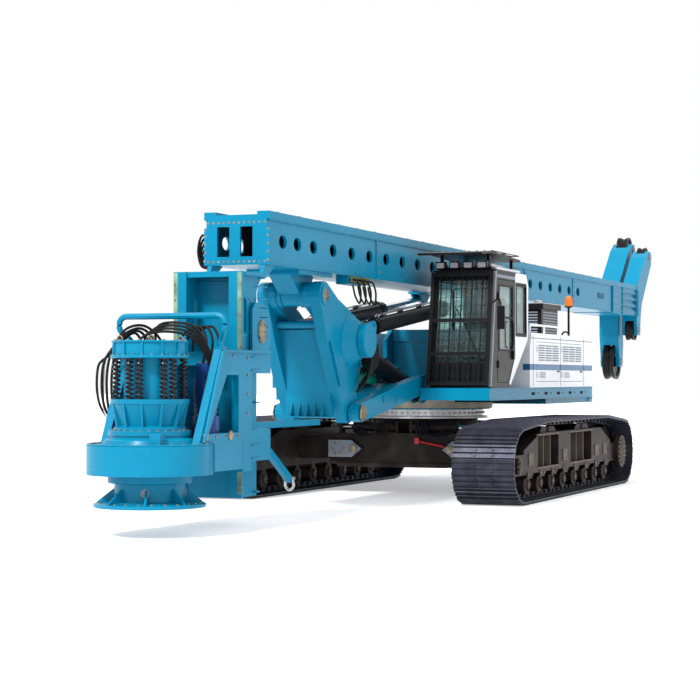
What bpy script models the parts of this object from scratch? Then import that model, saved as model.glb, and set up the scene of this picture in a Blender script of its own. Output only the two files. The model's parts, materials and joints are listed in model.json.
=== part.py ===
"""Crawler-mounted rotary piling rig, folded for transport, in metres, +Z up.

The machine is drawn about its slew axis: x = 0 and y = 0 on that axis, z = 0 on the
ground, the front towards -Y and the cab on the +X side. An empty named rig_frame then
moves everything along Y so that the whole machine is centred on the origin.
Every moving body hangs from an empty that stands on its joint's axis.
"""
import math

import bmesh
import bpy
from mathutils import Matrix, Vector

for old in list(bpy.data.objects):
    bpy.data.objects.remove(old, do_unlink=True)

# ---------------------------------------------------------------- clearances
SEAT_GAP = 0.0003        # between pieces that rest on each other
PIN_GAP = 0.0006         # radial, round a pin in its eye
SLIDE_GAP = 0.0005       # between a slide and its pad
RUN_GAP = 0.006          # between pieces that pass each other
FLAT_ANGLE = 0.002       # radians under which two faces count as one flat face

# ---------------------------------------------------------------- undercarriage
SHOE_WIDTH = 0.80
TRACK_X = 1.8265         # middle of a track
SHOE_PITCH = 0.205
SHOE_GROOVE = 0.022      # gap between two shoes
SHOE_HEIGHT = 0.028      # grouser height
LOOP_THICKNESS = 0.10
LOOP_STEP_DEG = 18       # facets of the loop's inside round a wheel
WRAP_R = 0.48
IDLER_Y = -2.72
SPROCKET_Y = 2.65
TRACK_TOP_Z = 1.04
CARRIER_R = 0.20         # bend of the loop over the carrier rollers
CARRIER_FRONT_Y = -1.62
CARRIER_REAR_Y = 1.60
FRAME_WIDTH = 0.53       # track frame across
FRAME_LOW_Z = 0.36
FRAME_HIGH_Z = 0.86
FRAME_FRONT_Y = -2.30
FRAME_REAR_Y = 2.20
WHEEL_WIDTH = 0.14
WHEEL_AXLE_R = 0.07
ROLLER_R = 0.115
ROLLER_COUNT = 8
CAR_END_X = 1.08         # outer end of the cross beams
BEAM_Y = 0.74            # middle of each cross beam
BEAM_DEPTH = 0.50
BEAM_LOW_Z = 0.39
BEAM_HIGH_Z = 0.82
BEAM_WALL = 0.07
SLIDE_INNER_X = 0.50     # inner end of a sliding beam
CAR_BOX_X = 0.70
DRUM_R = 0.72
DRUM_TOP_Z = 1.05
BEARING_R = 0.80
BEARING_TOP_Z = 1.14

# ---------------------------------------------------------------- upper structure
RING_R = 0.90
DECK_LOW_Z = 1.28
DECK_HIGH_Z = 1.44
DECK_FRONT_Y = -1.85
DECK_HALF_X = 1.50
SLOT_HALF_X = 0.556      # slot for the boom and its cylinders
SLOT_REAR_Y = -0.70
TAIL_Y = 3.95
WEIGHT_FRONT_Y = 3.47
WEIGHT_LOW_Z = 1.20
HOOD_TOP_Z = 2.20
HOOD_WALL = 0.04
HOOD_FRONT_Y = 1.30      # front of the middle part
HOOD_SIDE_FRONT_Y = 0.02  # front of the part behind the cab, at its foot
HOOD_SIDE_INNER_X = 0.62
RIGHT_HOUSING_X = -0.60
RIGHT_HOUSING_FRONT_Y = -0.90
BEACON_LOW_Z = 2.68
WINCH_SHAFT_R = 0.10
DOOR_LOW_Z = 1.52
DOOR_HIGH_Z = 2.08
DOOR_EDGES_Y = ((0.36, 1.58), (1.66, 2.88))
KNUCKLE_R = 0.014

# ---------------------------------------------------------------- cab
CAB_INNER_X = 0.635
CAB_OUTER_X = 1.50
CAB_FLOOR_Z = 1.45
CAB_ROOF_Z = 2.99
CAB_FRONT_Y = -1.80
CAB_FRONT_TOP_Y = -1.56
CAB_REAR_Y = -0.08
CAB_WALL = 0.045
CAB_REAR_KNEE_Z = 2.10
CAB_REAR_FOOT_Y = -0.98
DOOR_FRONT_Y = -1.50
DOOR_REAR_Y = -0.72
GLASS = 0.010
ROOF_GUARD_INNER_X = 0.58        # clear of the mast cylinder as the boom lifts

# ---------------------------------------------------------------- boom linkage
BOOM_PIVOT = (-1.55, 1.50)       # (y, z) of the boom foot
BOOM_HEAD = (-3.94, 1.15)        # (y, z) of the pin that carries the support frame
BOOM_INNER_X = 0.415
BOOM_OUTER_X = 0.545
BOOM_PIN_R = 0.065
LUFF_BASE = (-1.00, 1.33)
LUFF_HEAD = (-3.42, 1.97)
LUFF_X = 0.215
LUFF_BARREL_R = 0.115
LUFF_ROD_R = 0.065
FRAME_INNER_X = 0.27             # twin plates of the support frame
FRAME_OUTER_X = 0.40
CROSS_TUBE = (-3.90, 2.02)
CROSS_TUBE_R = 0.20
CROSS_TUBE_HALF_X = 0.65
MAST_PIVOT = (-4.73, 2.54)
MAST_PIVOT_R = 0.13
MAST_PIN_R = 0.055
MAST_CYL_BASE = (-3.45, 2.19)
MAST_CYL_HEAD = (1.00, 2.71)
MAST_CYL_X = 0.45
MAST_BARREL_R = 0.10
MAST_ROD_R = 0.06
EYE_WIDTH = 0.08
EYE_R = 0.085
EYE_PIN_R = 0.04
EAR = 0.03                       # thickness of a lug plate

# ---------------------------------------------------------------- mast
MAST_HALF_X = 0.364
MAST_LOW_Z = 2.809
MAST_HIGH_Z = 3.36
MAST_RAIL_Z = 3.395
MAST_RAIL_X = 0.393
MAST_FRONT_Y = -6.31
MAST_WALL = 0.035
MAST_HEAD_FRONT_Y = 9.40
MAST_REAR_Y = 11.40
HOLE_PITCH = 0.597
HOLE_FIRST_Y = -4.39
HOLE_COUNT = 20
HOLE_Z = 3.08
HOLE_HALF_Y = 0.110
HOLE_HALF_Z = 0.078
FRONT_HOLES_Y = (-5.87, -5.46, -4.99)
SHEAVE_AXLE_R = 0.045
# name, arm's low and high x, sheave width, then (y, z) and radius of the upper and lower sheave
HEAD_ARMS = (
    ("main", -0.36, 0.02, 0.22, (12.72, 4.19), 0.26, (11.60, 1.90), 0.35),
    ("auxiliary", 0.10, 0.40, 0.16, (12.52, 4.02), 0.20, (11.50, 2.52), 0.20),
)

# ---------------------------------------------------------------- lower mast and rotary drive
FOLD_HINGE = (-6.3255, 2.6905)
FOLD_PIN_R = 0.026
FOLD_EYE_R = 0.045
LOWER_TOP_Z = 2.70
LOWER_FOOT_Z = 0.304
LOWER_RAIL_Y = -7.03
LOWER_RAIL_X = 0.40
LOWER_RAIL_DEPTH = 0.05
LOWER_HALF_X = 0.33
LOWER_REAR_Y = -6.50
LOWER_RECESS = 0.25
ROTARY_Y = -8.32
CASING_FLANGE_R = 0.56
CASING_FLANGE_Z = 0.29
PASSAGE_R = 0.19
SLEEVE_R = 0.245
GEARBOX_R = 0.63
GEARBOX_LOW_Z = 0.63
GEARBOX_HIGH_Z = 0.91
GEARBOX_HALF_X = 0.55
HOUSING_R = 0.40
HOUSING_TOP_Z = 1.05
ABSORBER_FLANGE_Z = 1.34
SPRING_LOW_Z = 1.36
SPRING_HIGH_Z = 1.765
ABSORBER_TOP_Z = 1.94
SPRING_R = 0.045
SPRING_GAP = 0.048               # between the sleeve and the springs round it
SPRING_RIM = 0.002               # of the drum and cone, outside the springs
SPRING_RING_R = SLEEVE_R + SPRING_GAP + SPRING_R
ABSORBER_R = SPRING_RING_R + SPRING_R + SPRING_RIM
SPRING_PAIRS = 6
SIDE_PLATE_INNER_X = 0.47
SIDE_PLATE_OUTER_X = 0.55
HOOP_HALF_X = 0.60
HOOP_Y = -7.86
HOOP_TOP_Z = 2.20
HOOP_TUBE_R = 0.032

FRONT_END_Y = ROTARY_Y - GEARBOX_R
REAR_END_Y = HEAD_ARMS[0][4][0] + HEAD_ARMS[0][5]
CENTRE_Y = (FRONT_END_Y + REAR_END_Y) / 2

# ---------------------------------------------------------------- finishes
COLOURS = {
    "blue_paint": ((0.0, 0.29, 0.60), 0.35, 0.0),
    "deep_blue_paint": ((0.01, 0.06, 0.22), 0.35, 0.0),
    "white_paint": ((0.72, 0.75, 0.79), 0.35, 0.0),
    "chassis_brown": ((0.022, 0.014, 0.014), 0.5, 0.0),
    "black_paint": ((0.012, 0.011, 0.013), 0.4, 0.0),
    "shoe_steel": ((0.055, 0.063, 0.095), 0.5, 0.6),
    "warm_grey": ((0.21, 0.18, 0.15), 0.5, 0.0),
    "bare_steel": ((0.40, 0.38, 0.35), 0.35, 0.9),
    "spring_steel": ((0.02, 0.02, 0.025), 0.3, 0.7),
    "chrome": ((0.70, 0.70, 0.72), 0.1, 1.0),
    "orange_lamp": ((0.80, 0.13, 0.02), 0.3, 0.0),
    "cab_glass": ((0.25, 0.40, 0.40), 0.05, 0.0),
    "seat_fabric": ((0.03, 0.03, 0.035), 0.9, 0.0),
    "brass": ((0.60, 0.42, 0.12), 0.3, 1.0),
}
LOOKS = {}


def look(name):
    """The material of that name, made once."""
    if name not in LOOKS:
        colour, roughness, metallic = COLOURS[name]
        made = bpy.data.materials.new(name)
        made.use_nodes = True
        shader = made.node_tree.nodes["Principled BSDF"]
        shader.inputs["Base Color"].default_value = (*colour, 1.0)
        shader.inputs["Roughness"].default_value = roughness
        shader.inputs["Metallic"].default_value = metallic
        made.diffuse_color = (*colour, 1.0)
        LOOKS[name] = made
    return LOOKS[name]


# ---------------------------------------------------------------- bodies
BODY_EMPTIES = {}
BODY_PIVOTS = {}


def body(name, pivot, parent=None):
    """An empty on a joint's axis, parented to the body that carries it."""
    empty = bpy.data.objects.new(f"axis_of_{name}", None)
    bpy.context.scene.collection.objects.link(empty)
    BODY_EMPTIES[name] = empty
    BODY_PIVOTS[name] = Vector(pivot)
    if parent:
        empty.parent = BODY_EMPTIES[parent]
        empty.location = BODY_PIVOTS[name] - BODY_PIVOTS[parent]
    else:
        empty.location = Vector((0, -CENTRE_Y, 0)) + BODY_PIVOTS[name]


# ---------------------------------------------------------------- outlines
def arc(centre, radius, start_deg, end_deg, steps):
    """Points of an arc in a plane, both ends included."""
    points = []
    for i in range(steps + 1):
        angle = math.radians(start_deg + (end_deg - start_deg) * i / steps)
        points.append((centre[0] + radius * math.cos(angle), centre[1] + radius * math.sin(angle)))
    return points


def tangent_angle(near, far):
    """Angle of the outward normal of the line round two circles, taken anticlockwise."""
    (y0, z0, r0), (y1, z1, r1) = near, far
    along = math.atan2(z1 - z0, y1 - y0)
    lean = math.asin((r0 - r1) / math.hypot(y1 - y0, z1 - z0))
    return along - math.pi / 2 + lean


def hull(circles, step_deg=30):
    """Outline round a convex set of circles (y, z, radius) listed anticlockwise."""
    points = []
    for i, circle in enumerate(circles):
        start = tangent_angle(circles[i - 1], circle)
        end = tangent_angle(circle, circles[(i + 1) % len(circles)])
        turn = (end - start) % (2 * math.pi)
        if circle[2] == 0:
            points.append(circle[:2])
            continue
        steps = max(1, math.ceil(math.degrees(turn) / step_deg))
        start_deg = math.degrees(start)
        points += arc(circle[:2], circle[2], start_deg, start_deg + math.degrees(turn), steps)
    return points


# ---------------------------------------------------------------- closed solids as bmeshes
def prism(outline, low, high, place):
    """A flat outline pushed from low to high; place puts (a, b, depth) into x, y, z."""
    bm = bmesh.new()
    base = [bm.verts.new(place(a, b, low)) for a, b in outline]
    face = bm.faces.new(base)
    grown = bmesh.ops.extrude_face_region(bm, geom=[face])
    tops = [item for item in grown["geom"] if isinstance(item, bmesh.types.BMVert)]
    shift = Vector(place(0, 0, high)) - Vector(place(0, 0, low))
    bmesh.ops.translate(bm, verts=tops, vec=shift)
    bmesh.ops.recalc_face_normals(bm, faces=bm.faces)
    return bm


def plate_x(outline, low, high):
    """An outline in (y, z) pushed along X."""
    return prism(outline, low, high, lambda a, b, depth: (depth, a, b))


def plate_y(outline, low, high):
    """An outline in (x, z) pushed along Y."""
    return prism(outline, low, high, lambda a, b, depth: (a, depth, b))


def plate_z(outline, low, high):
    """An outline in (x, y) pushed along Z."""
    return prism(outline, low, high, lambda a, b, depth: (a, b, depth))


def block(x, y, z):
    """A box between the pairs of limits x, y and z."""
    corners = [(x[0], y[0]), (x[1], y[0]), (x[1], y[1]), (x[0], y[1])]
    return plate_z(corners, z[0], z[1])


def rod_x(centre, radius, low, high, sides=12):
    """A round bar along X about (y, z)."""
    return plate_x(arc(centre, radius, 0, 360 - 360 / sides, sides - 1), low, high)


def bore_x(centre, pin_radius, low, high, sides=24):
    """A hole along X whose flats stay clear of a pin of that radius at every turn."""
    return rod_x(centre, (pin_radius + SEAT_GAP) / math.cos(math.pi / sides), low, high, sides)


def rod_z(centre, radius, low, high, sides=24):
    """A round bar along Z about (x, y)."""
    return plate_z(arc(centre, radius, 0, 360 - 360 / sides, sides - 1), low, high)


def rod_between(start, end, radius, sides=12):
    """A round bar between two points."""
    start, end = Vector(start), Vector(end)
    span = end - start
    bm = bmesh.new()
    turn = span.to_track_quat("Z", "Y").to_matrix().to_4x4()
    bmesh.ops.create_cone(bm, cap_ends=True, segments=sides, radius1=radius, radius2=radius,
                          depth=span.length, matrix=Matrix.Translation((start + end) / 2) @ turn)
    return bm


def turned(profile, centre, sides=28):
    """A solid of revolution about Z at (x, y); profile is a closed outline of (r, z)."""
    bm = bmesh.new()
    rings = []
    for i in range(sides):
        angle = 2 * math.pi * i / sides
        rings.append([bm.verts.new((centre[0] + r * math.cos(angle), centre[1] + r * math.sin(angle), z))
                      for r, z in profile])
    for ring, after in zip(rings, rings[1:] + rings[:1]):
        for j in range(len(profile)):
            k = (j + 1) % len(profile)
            bm.faces.new((ring[j], after[j], after[k], ring[k]))
    bmesh.ops.recalc_face_normals(bm, faces=bm.faces)
    return bm


def bent_tube(path, radius, sides=8):
    """A closed round tube through the points of path, with flat ends."""
    bm = bmesh.new()
    path = [Vector(point) for point in path]
    rings = []
    for i, point in enumerate(path):
        ahead = path[min(i + 1, len(path) - 1)] - path[max(i - 1, 0)]
        turn = ahead.to_track_quat("Z", "Y").to_matrix()
        if i in (0, len(path) - 1):
            spread = 1.0
        else:
            before = (path[i] - path[i - 1]).normalized()
            after = (path[i + 1] - path[i]).normalized()
            spread = 1 / max(0.5, math.cos(before.angle(after, 0) / 2))
        bend = Vector((0, 0, 0))
        if 0 < i < len(path) - 1:
            bend = (path[i + 1] - path[i]).normalized() - (path[i] - path[i - 1]).normalized()
        ring = []
        for j in range(sides):
            angle = 2 * math.pi * j / sides
            out = turn @ Vector((radius * math.cos(angle), radius * math.sin(angle), 0))
            if bend.length > 1e-6:
                side = bend.normalized()
                out += side * out.dot(side) * (spread - 1)
            ring.append(bm.verts.new(point + out))
        rings.append(ring)
    for ring, after in zip(rings, rings[1:]):
        for j in range(sides):
            k = (j + 1) % sides
            bm.faces.new((ring[j], ring[k], after[k], after[j]))
    bm.faces.new(rings[0])
    bm.faces.new(rings[-1])
    bmesh.ops.recalc_face_normals(bm, faces=bm.faces)
    return bm


def rounded_path(corners, radius, steps=4):
    """Points along straight runs with round corners between them."""
    corners = [Vector(corner) for corner in corners]
    points = [corners[0]]
    for before, corner, after in zip(corners, corners[1:], corners[2:]):
        into = (before - corner).normalized()
        away = (after - corner).normalized()
        half = into.angle(away) / 2
        reach = radius / math.tan(half)
        centre = corner + (into + away).normalized() * radius / math.sin(half)
        first = (corner + into * reach - centre).normalized()
        last = (corner + away * reach - centre).normalized()
        for i in range(steps + 1):
            points.append(centre + first.slerp(last, i / steps) * radius)
    points.append(corners[-1])
    return points


def mirrored(bm):
    """The same solid on the other side of x = 0."""
    twin = bm.copy()
    bmesh.ops.scale(twin, vec=(-1, 1, 1), verts=twin.verts)
    bmesh.ops.reverse_faces(twin, faces=twin.faces)
    return twin


def pair(bm):
    """A solid and its mirror image."""
    return [bm, mirrored(bm)]


# ---------------------------------------------------------------- nodes
def temporary(bm):
    """An object that stands in the scene only while a boolean reads it."""
    mesh = bpy.data.meshes.new("working")
    bm.to_mesh(mesh)
    bm.free()
    made = bpy.data.objects.new("working", mesh)
    bpy.context.scene.collection.objects.link(made)
    return made


def combine(target, tool, operation):
    """Join tool to target, or cut it out of target, and remove tool."""
    step = target.modifiers.new("step", "BOOLEAN")
    step.operation = operation
    step.solver = "EXACT"
    step.object = tool
    bpy.context.view_layer.update()
    evaluated = target.evaluated_get(bpy.context.evaluated_depsgraph_get())
    result = bpy.data.meshes.new_from_object(evaluated)
    target.modifiers.clear()
    target.data = result
    bpy.data.objects.remove(tool, do_unlink=True)


def merge_flat_faces(mesh):
    """Dissolve the edges and vertices that a boolean leaves inside flat faces."""
    bm = bmesh.new()
    bm.from_mesh(mesh)
    bmesh.ops.dissolve_limit(bm, angle_limit=FLAT_ANGLE, verts=bm.verts, edges=bm.edges)
    bm.to_mesh(mesh)
    bm.free()


def node(name, body_name, finish, adds, cuts=(), pins=(), smooth_deg=30):
    """One named closed solid on its body: adds joined, cuts taken out, then pins joined."""
    made = temporary(adds[0])
    for bm in adds[1:]:
        combine(made, temporary(bm), "UNION")
    for bm in cuts:
        combine(made, temporary(bm), "DIFFERENCE")
    for bm in pins:
        combine(made, temporary(bm), "UNION")
    merge_flat_faces(made.data)
    made.name = name
    made.data.name = name
    made.data.materials.clear()
    made.data.materials.append(look(finish))
    made.data.transform(Matrix.Translation(-BODY_PIVOTS[body_name]))
    made.data.shade_smooth()
    made.data.set_sharp_from_angle(angle=math.radians(smooth_deg))
    made.parent = BODY_EMPTIES[body_name]
    return made


# ---------------------------------------------------------------- undercarriage
def loop_circles(inset):
    """The circles that the track loop runs round, shrunk by inset."""
    return (
        (IDLER_Y, WRAP_R, WRAP_R - inset),
        (SPROCKET_Y, WRAP_R, WRAP_R - inset),
        (CARRIER_REAR_Y, TRACK_TOP_Z - CARRIER_R, CARRIER_R - inset),
        (CARRIER_FRONT_Y, TRACK_TOP_Z - CARRIER_R, CARRIER_R - inset),
    )


def loop_runs(circles):
    """The straight and round runs of a belt about the circles, as (length, point function)."""
    runs = []
    count = len(circles)
    for i, circle in enumerate(circles):
        after = circles[(i + 1) % count]
        start = tangent_angle(circles[i - 1], circle)
        end = tangent_angle(circle, after)
        turn = (end - start) % (2 * math.pi)

        def on_arc(share, inset, circle=circle, start=start, turn=turn):
            angle = start + turn * share
            radius = circle[2] - inset
            return circle[0] + radius * math.cos(angle), circle[1] + radius * math.sin(angle)

        def on_line(share, inset, circle=circle, after=after, end=end):
            first = (circle[0] + (circle[2] - inset) * math.cos(end),
                     circle[1] + (circle[2] - inset) * math.sin(end))
            last = (after[0] + (after[2] - inset) * math.cos(end),
                    after[1] + (after[2] - inset) * math.sin(end))
            return first[0] + (last[0] - first[0]) * share, first[1] + (last[1] - first[1]) * share

        runs.append((circle[2] * turn, on_arc))
        first, last = on_line(0, 0), on_line(1, 0)
        runs.append((math.dist(first, last), on_line))
    return runs


def on_loop(runs, distance, inset):
    """The point at that distance along the loop, moved inwards by inset."""
    for length, point in runs:
        if distance <= length:
            return point(distance / length, inset)
        distance -= length
    return runs[-1][1](1.0, inset)


def track(name, side):
    """One endless track: shoes with grooves between them on the outside, smooth inside."""
    runs = loop_runs(loop_circles(0))
    total = sum(length for length, point in runs)
    shoes = round(total / SHOE_PITCH)
    pitch = total / shoes
    outer = []
    for i in range(shoes):
        start = i * pitch
        outer.append(on_loop(runs, start + SHOE_GROOVE / 2, SHOE_HEIGHT))
        outer.append(on_loop(runs, start + SHOE_GROOVE / 2, 0))
        outer.append(on_loop(runs, start + pitch - SHOE_GROOVE / 2, 0))
        outer.append(on_loop(runs, start + pitch - SHOE_GROOVE / 2, SHOE_HEIGHT))
    low = side * TRACK_X - SHOE_WIDTH / 2
    high = side * TRACK_X + SHOE_WIDTH / 2
    inner = hull(loop_circles(LOOP_THICKNESS), LOOP_STEP_DEG)
    hole = plate_x(inner, low - 0.1, high + 0.1)
    node(name, body_of_side(side), "shoe_steel", [plate_x(outer, low, high)], [hole])


def body_of_side(side):
    return "crawler_left" if side > 0 else "crawler_right"


def side_block(side, x, y, z):
    """A box given for the left side, put on either side."""
    low, high = sorted((side * x[0], side * x[1]))
    return block((low, high), y, z)


def track_frame(name, side):
    """The welded frame inside a track, with its rollers, wheel yokes and sliding beams."""
    inner = TRACK_X - FRAME_WIDTH / 2
    outer = TRACK_X + FRAME_WIDTH / 2
    low, high = sorted((side * inner, side * outer))
    outline = [(FRAME_FRONT_Y, FRAME_LOW_Z), (FRAME_REAR_Y, FRAME_LOW_Z), (FRAME_REAR_Y, 0.66),
               (1.62, FRAME_HIGH_Z), (-1.55, FRAME_HIGH_Z), (FRAME_FRONT_Y, 0.66)]
    adds = [plate_x(outline, low, high)]
    roller_z = LOOP_THICKNESS + SLIDE_GAP + ROLLER_R
    span = (FRAME_REAR_Y - FRAME_FRONT_Y) - 0.5
    for i in range(ROLLER_COUNT):
        y = FRAME_FRONT_Y + 0.25 + span * i / (ROLLER_COUNT - 1)
        adds.append(rod_x((y, roller_z), ROLLER_R, low + 0.03, high - 0.03, 12))
        adds.append(block((low + 0.03, high - 0.03), (y - 0.05, y + 0.05), (roller_z, FRAME_LOW_Z + 0.02)))
    for y in (CARRIER_FRONT_Y + 0.62, CARRIER_REAR_Y - 0.86):
        cap = [(y - 0.45, FRAME_HIGH_Z - 0.02), (y + 0.45, FRAME_HIGH_Z - 0.02),
               (y + 0.28, FRAME_HIGH_Z + 0.07), (y - 0.28, FRAME_HIGH_Z + 0.07)]
        adds.append(plate_x(cap, low + 0.05, high - 0.05))
    yoke_inner = TRACK_X + WHEEL_WIDTH / 2 + RUN_GAP
    for wheel_y, root_y in ((IDLER_Y, FRAME_FRONT_Y + 0.1), (SPROCKET_Y, FRAME_REAR_Y - 0.1)):
        for near, far in ((yoke_inner, outer), (inner, 2 * TRACK_X - yoke_inner)):
            y = sorted((root_y, wheel_y))
            adds.append(side_block(side, (near, far), y, (WRAP_R - 0.13, WRAP_R + 0.13)))
    for sign in (-1, 1):
        middle = sign * BEAM_Y
        half = BEAM_DEPTH / 2 - BEAM_WALL - RUN_GAP
        adds.append(side_block(side, (SLIDE_INNER_X, inner + 0.02), (middle - half, middle + half),
                               (BEAM_LOW_Z + BEAM_WALL + SLIDE_GAP, BEAM_HIGH_Z - BEAM_WALL - SLIDE_GAP)))
    cuts = []
    for y in ((-1.66, -0.66), (-0.04, 1.10)):
        for depth in ((outer - 0.12, outer + 0.1),):
            cuts.append(side_block(side, depth, y, (FRAME_LOW_Z + 0.06, FRAME_HIGH_Z - 0.03)))
    for wheel_y in (IDLER_Y, SPROCKET_Y):
        cuts.append(rod_x((wheel_y, WRAP_R), WHEEL_AXLE_R + SEAT_GAP, low - 0.1, high + 0.1))
    node(name, body_of_side(side), "warm_grey", adds, cuts)


def track_wheel(name, side, y, hub_r):
    """A wheel that the loop wraps, with its axle through the yoke."""
    middle = side * TRACK_X
    rim = (WRAP_R - LOOP_THICKNESS) * math.cos(math.radians(LOOP_STEP_DEG / 2)) - SLIDE_GAP
    adds = [rod_x((y, WRAP_R), rim, middle - WHEEL_WIDTH / 2, middle + WHEEL_WIDTH / 2, 24)]
    reach = FRAME_WIDTH / 2 + 0.01
    adds.append(rod_x((y, WRAP_R), WHEEL_AXLE_R, middle - reach, middle + reach))
    start = side * (TRACK_X + FRAME_WIDTH / 2 + SEAT_GAP)
    low, high = sorted((start, start + side * 0.07))
    adds.append(rod_x((y, WRAP_R), hub_r, low, high, 20))
    node(name, body_of_side(side), "chassis_brown", adds)


def car_body():
    """The centre frame: a box, two hollow cross beams, lug plates and the drum of the slew ring."""
    adds = [block((-CAR_BOX_X, CAR_BOX_X), (-BEAM_Y, BEAM_Y), (BEAM_LOW_Z, BEAM_HIGH_Z))]
    for sign in (-1, 1):
        middle = sign * BEAM_Y
        near, far = middle - BEAM_DEPTH / 2, middle + BEAM_DEPTH / 2
        adds.append(block((-CAR_END_X, CAR_END_X), (near, far), (BEAM_LOW_Z, BEAM_HIGH_Z)))
        face = sign * (BEAM_Y + BEAM_DEPTH / 2)
        low, high = sorted((face - sign * 0.02, face + sign * 0.05))
        lug = [(CAR_END_X, 0.48), (CAR_END_X, 0.73), (0.72, 0.73), (0.56, 0.605), (0.72, 0.48)]
        adds += pair(plate_y(lug, low, high))
        adds.append(block((-0.95, 0.95), (face - 0.03, face + 0.03), (BEAM_LOW_Z - 0.03, BEAM_LOW_Z + 0.02)))
    adds.append(rod_z((0, 0), DRUM_R, BEAM_HIGH_Z - 0.05, DRUM_TOP_Z, 32))
    cuts = [rod_z((0, 0), 0.40, BEAM_LOW_Z - 0.1, DRUM_TOP_Z + 0.1, 24)]
    for sign in (-1, 1):
        middle = sign * BEAM_Y
        half = BEAM_DEPTH / 2 - BEAM_WALL
        cuts.append(block((-CAR_END_X - 0.1, CAR_END_X + 0.1), (middle - half, middle + half),
                          (BEAM_LOW_Z + BEAM_WALL, BEAM_HIGH_Z - BEAM_WALL)))
    node("car_body", "undercarriage", "chassis_brown", adds, cuts)


def slew_bearing():
    """The toothed lower ring on the drum."""
    low = DRUM_TOP_Z + SEAT_GAP
    profile = [(0.55, low), (BEARING_R, low), (BEARING_R, BEARING_TOP_Z), (0.55, BEARING_TOP_Z)]
    node("slew_bearing", "undercarriage", "chassis_brown", [turned(profile, (0, 0), 32)])


# ---------------------------------------------------------------- upper structure
def turntable():
    """The deck frame with its ring, the slot for the boom, the boom and cylinder brackets."""
    deck = [(-DECK_HALF_X, DECK_FRONT_Y), (-SLOT_HALF_X, DECK_FRONT_Y), (-SLOT_HALF_X, SLOT_REAR_Y),
            (SLOT_HALF_X, SLOT_REAR_Y), (SLOT_HALF_X, DECK_FRONT_Y), (DECK_HALF_X, DECK_FRONT_Y),
            (DECK_HALF_X, WEIGHT_FRONT_Y), (-DECK_HALF_X, WEIGHT_FRONT_Y)]
    adds = [plate_z(deck, DECK_LOW_Z, DECK_HIGH_Z)]
    adds.append(rod_z((0, 0), RING_R, BEARING_TOP_Z + SEAT_GAP, DECK_LOW_Z + 0.02, 32))
    adds.append(block((-DECK_HALF_X + 0.05, DECK_HALF_X - 0.05), (1.0, WEIGHT_FRONT_Y), (WEIGHT_LOW_Z, DECK_LOW_Z + 0.02)))
    bracket = hull([(BOOM_PIVOT[0] - 0.18, DECK_HIGH_Z - 0.05, 0), (BOOM_PIVOT[0] + 0.22, DECK_HIGH_Z - 0.05, 0),
                    (*BOOM_PIVOT, 0.13)])
    adds += pair(plate_x(bracket, SLOT_HALF_X, SLOT_HALF_X + 0.06))
    ear = hull([(*LUFF_BASE, 0.10), (SLOT_REAR_Y + 0.05, DECK_LOW_Z + 0.01, 0), (SLOT_REAR_Y + 0.05, DECK_HIGH_Z - 0.01, 0)])
    for x in ear_places(LUFF_X):
        adds += pair(plate_x(ear, x, x + EAR))
    adds += pair(rod_x(LUFF_BASE, EYE_PIN_R, ear_places(LUFF_X)[0] + 0.005, ear_places(LUFF_X)[1] + EAR - 0.005, 12))
    cuts = pair(bore_x(BOOM_PIVOT, BOOM_PIN_R, SLOT_HALF_X - 0.1, SLOT_HALF_X + 0.1))
    notch = rod_z((0, 0), 0.45, BEARING_TOP_Z - 0.1, DECK_LOW_Z - 0.04, 24)
    cuts.append(notch)
    node("turntable", "upper", "blue_paint", adds, cuts)


def ear_places(middle):
    """Inner x of the two lug plates either side of an eye."""
    return middle - EYE_WIDTH / 2 - RUN_GAP - EAR, middle + EYE_WIDTH / 2 + RUN_GAP


def counterweight():
    """The tail casting with its rounded rear corners."""
    radius = 0.22
    x, rear = DECK_HALF_X, TAIL_Y
    front = WEIGHT_FRONT_Y + SEAT_GAP
    outline = [(-x, front), (x, front)]
    outline += arc((x - radius, rear - radius), radius, 0, 90, 4)
    outline += arc((-x + radius, rear - radius), radius, 90, 180, 4)
    node("counterweight", "upper", "white_paint", [plate_z(outline, WEIGHT_LOW_Z, HOOD_TOP_Z)])


def hood_outline(inset):
    """Plan of the engine hood, moved inwards by inset."""
    x = DECK_HALF_X - inset
    inner = HOOD_SIDE_INNER_X + inset
    return [(RIGHT_HOUSING_X + SEAT_GAP + inset, HOOD_FRONT_Y + inset), (inner, HOOD_FRONT_Y + inset),
            (inner, HOOD_SIDE_FRONT_Y + inset), (x, HOOD_SIDE_FRONT_Y + inset),
            (x, WEIGHT_FRONT_Y - inset), (RIGHT_HOUSING_X + SEAT_GAP + inset, WEIGHT_FRONT_Y - inset)]


def engine_hood():
    """The hollow hood, open to the deck, with the openings of its two side doors."""
    low = DECK_HIGH_Z + SEAT_GAP
    adds = [plate_z(hood_outline(0), low, HOOD_TOP_Z)]
    cuts = [plate_z(hood_outline(HOOD_WALL), low - 0.1, HOOD_TOP_Z - HOOD_WALL)]
    for y in DOOR_EDGES_Y:
        cuts.append(block((DECK_HALF_X - 0.1, DECK_HALF_X + 0.1), y, (DOOR_LOW_Z, DOOR_HIGH_Z)))
    slope = [(HOOD_SIDE_FRONT_Y - 0.1, HOOD_TOP_Z + 0.1), (HOOD_SIDE_FRONT_Y - 0.1, 1.98),
             (HOOD_SIDE_FRONT_Y, 1.98), (HOOD_SIDE_FRONT_Y + 0.12, HOOD_TOP_Z + 0.1)]
    cuts.append(plate_x(slope, HOOD_SIDE_INNER_X - 0.1, DECK_HALF_X + 0.1))
    node("engine_hood", "upper", "white_paint", adds, cuts)


def hood_hinge(front):
    """(x, y) of a hood door's hinge, from the front edge of its opening."""
    return DECK_HALF_X + KNUCKLE_R / 2, front + RUN_GAP + KNUCKLE_R


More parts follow.
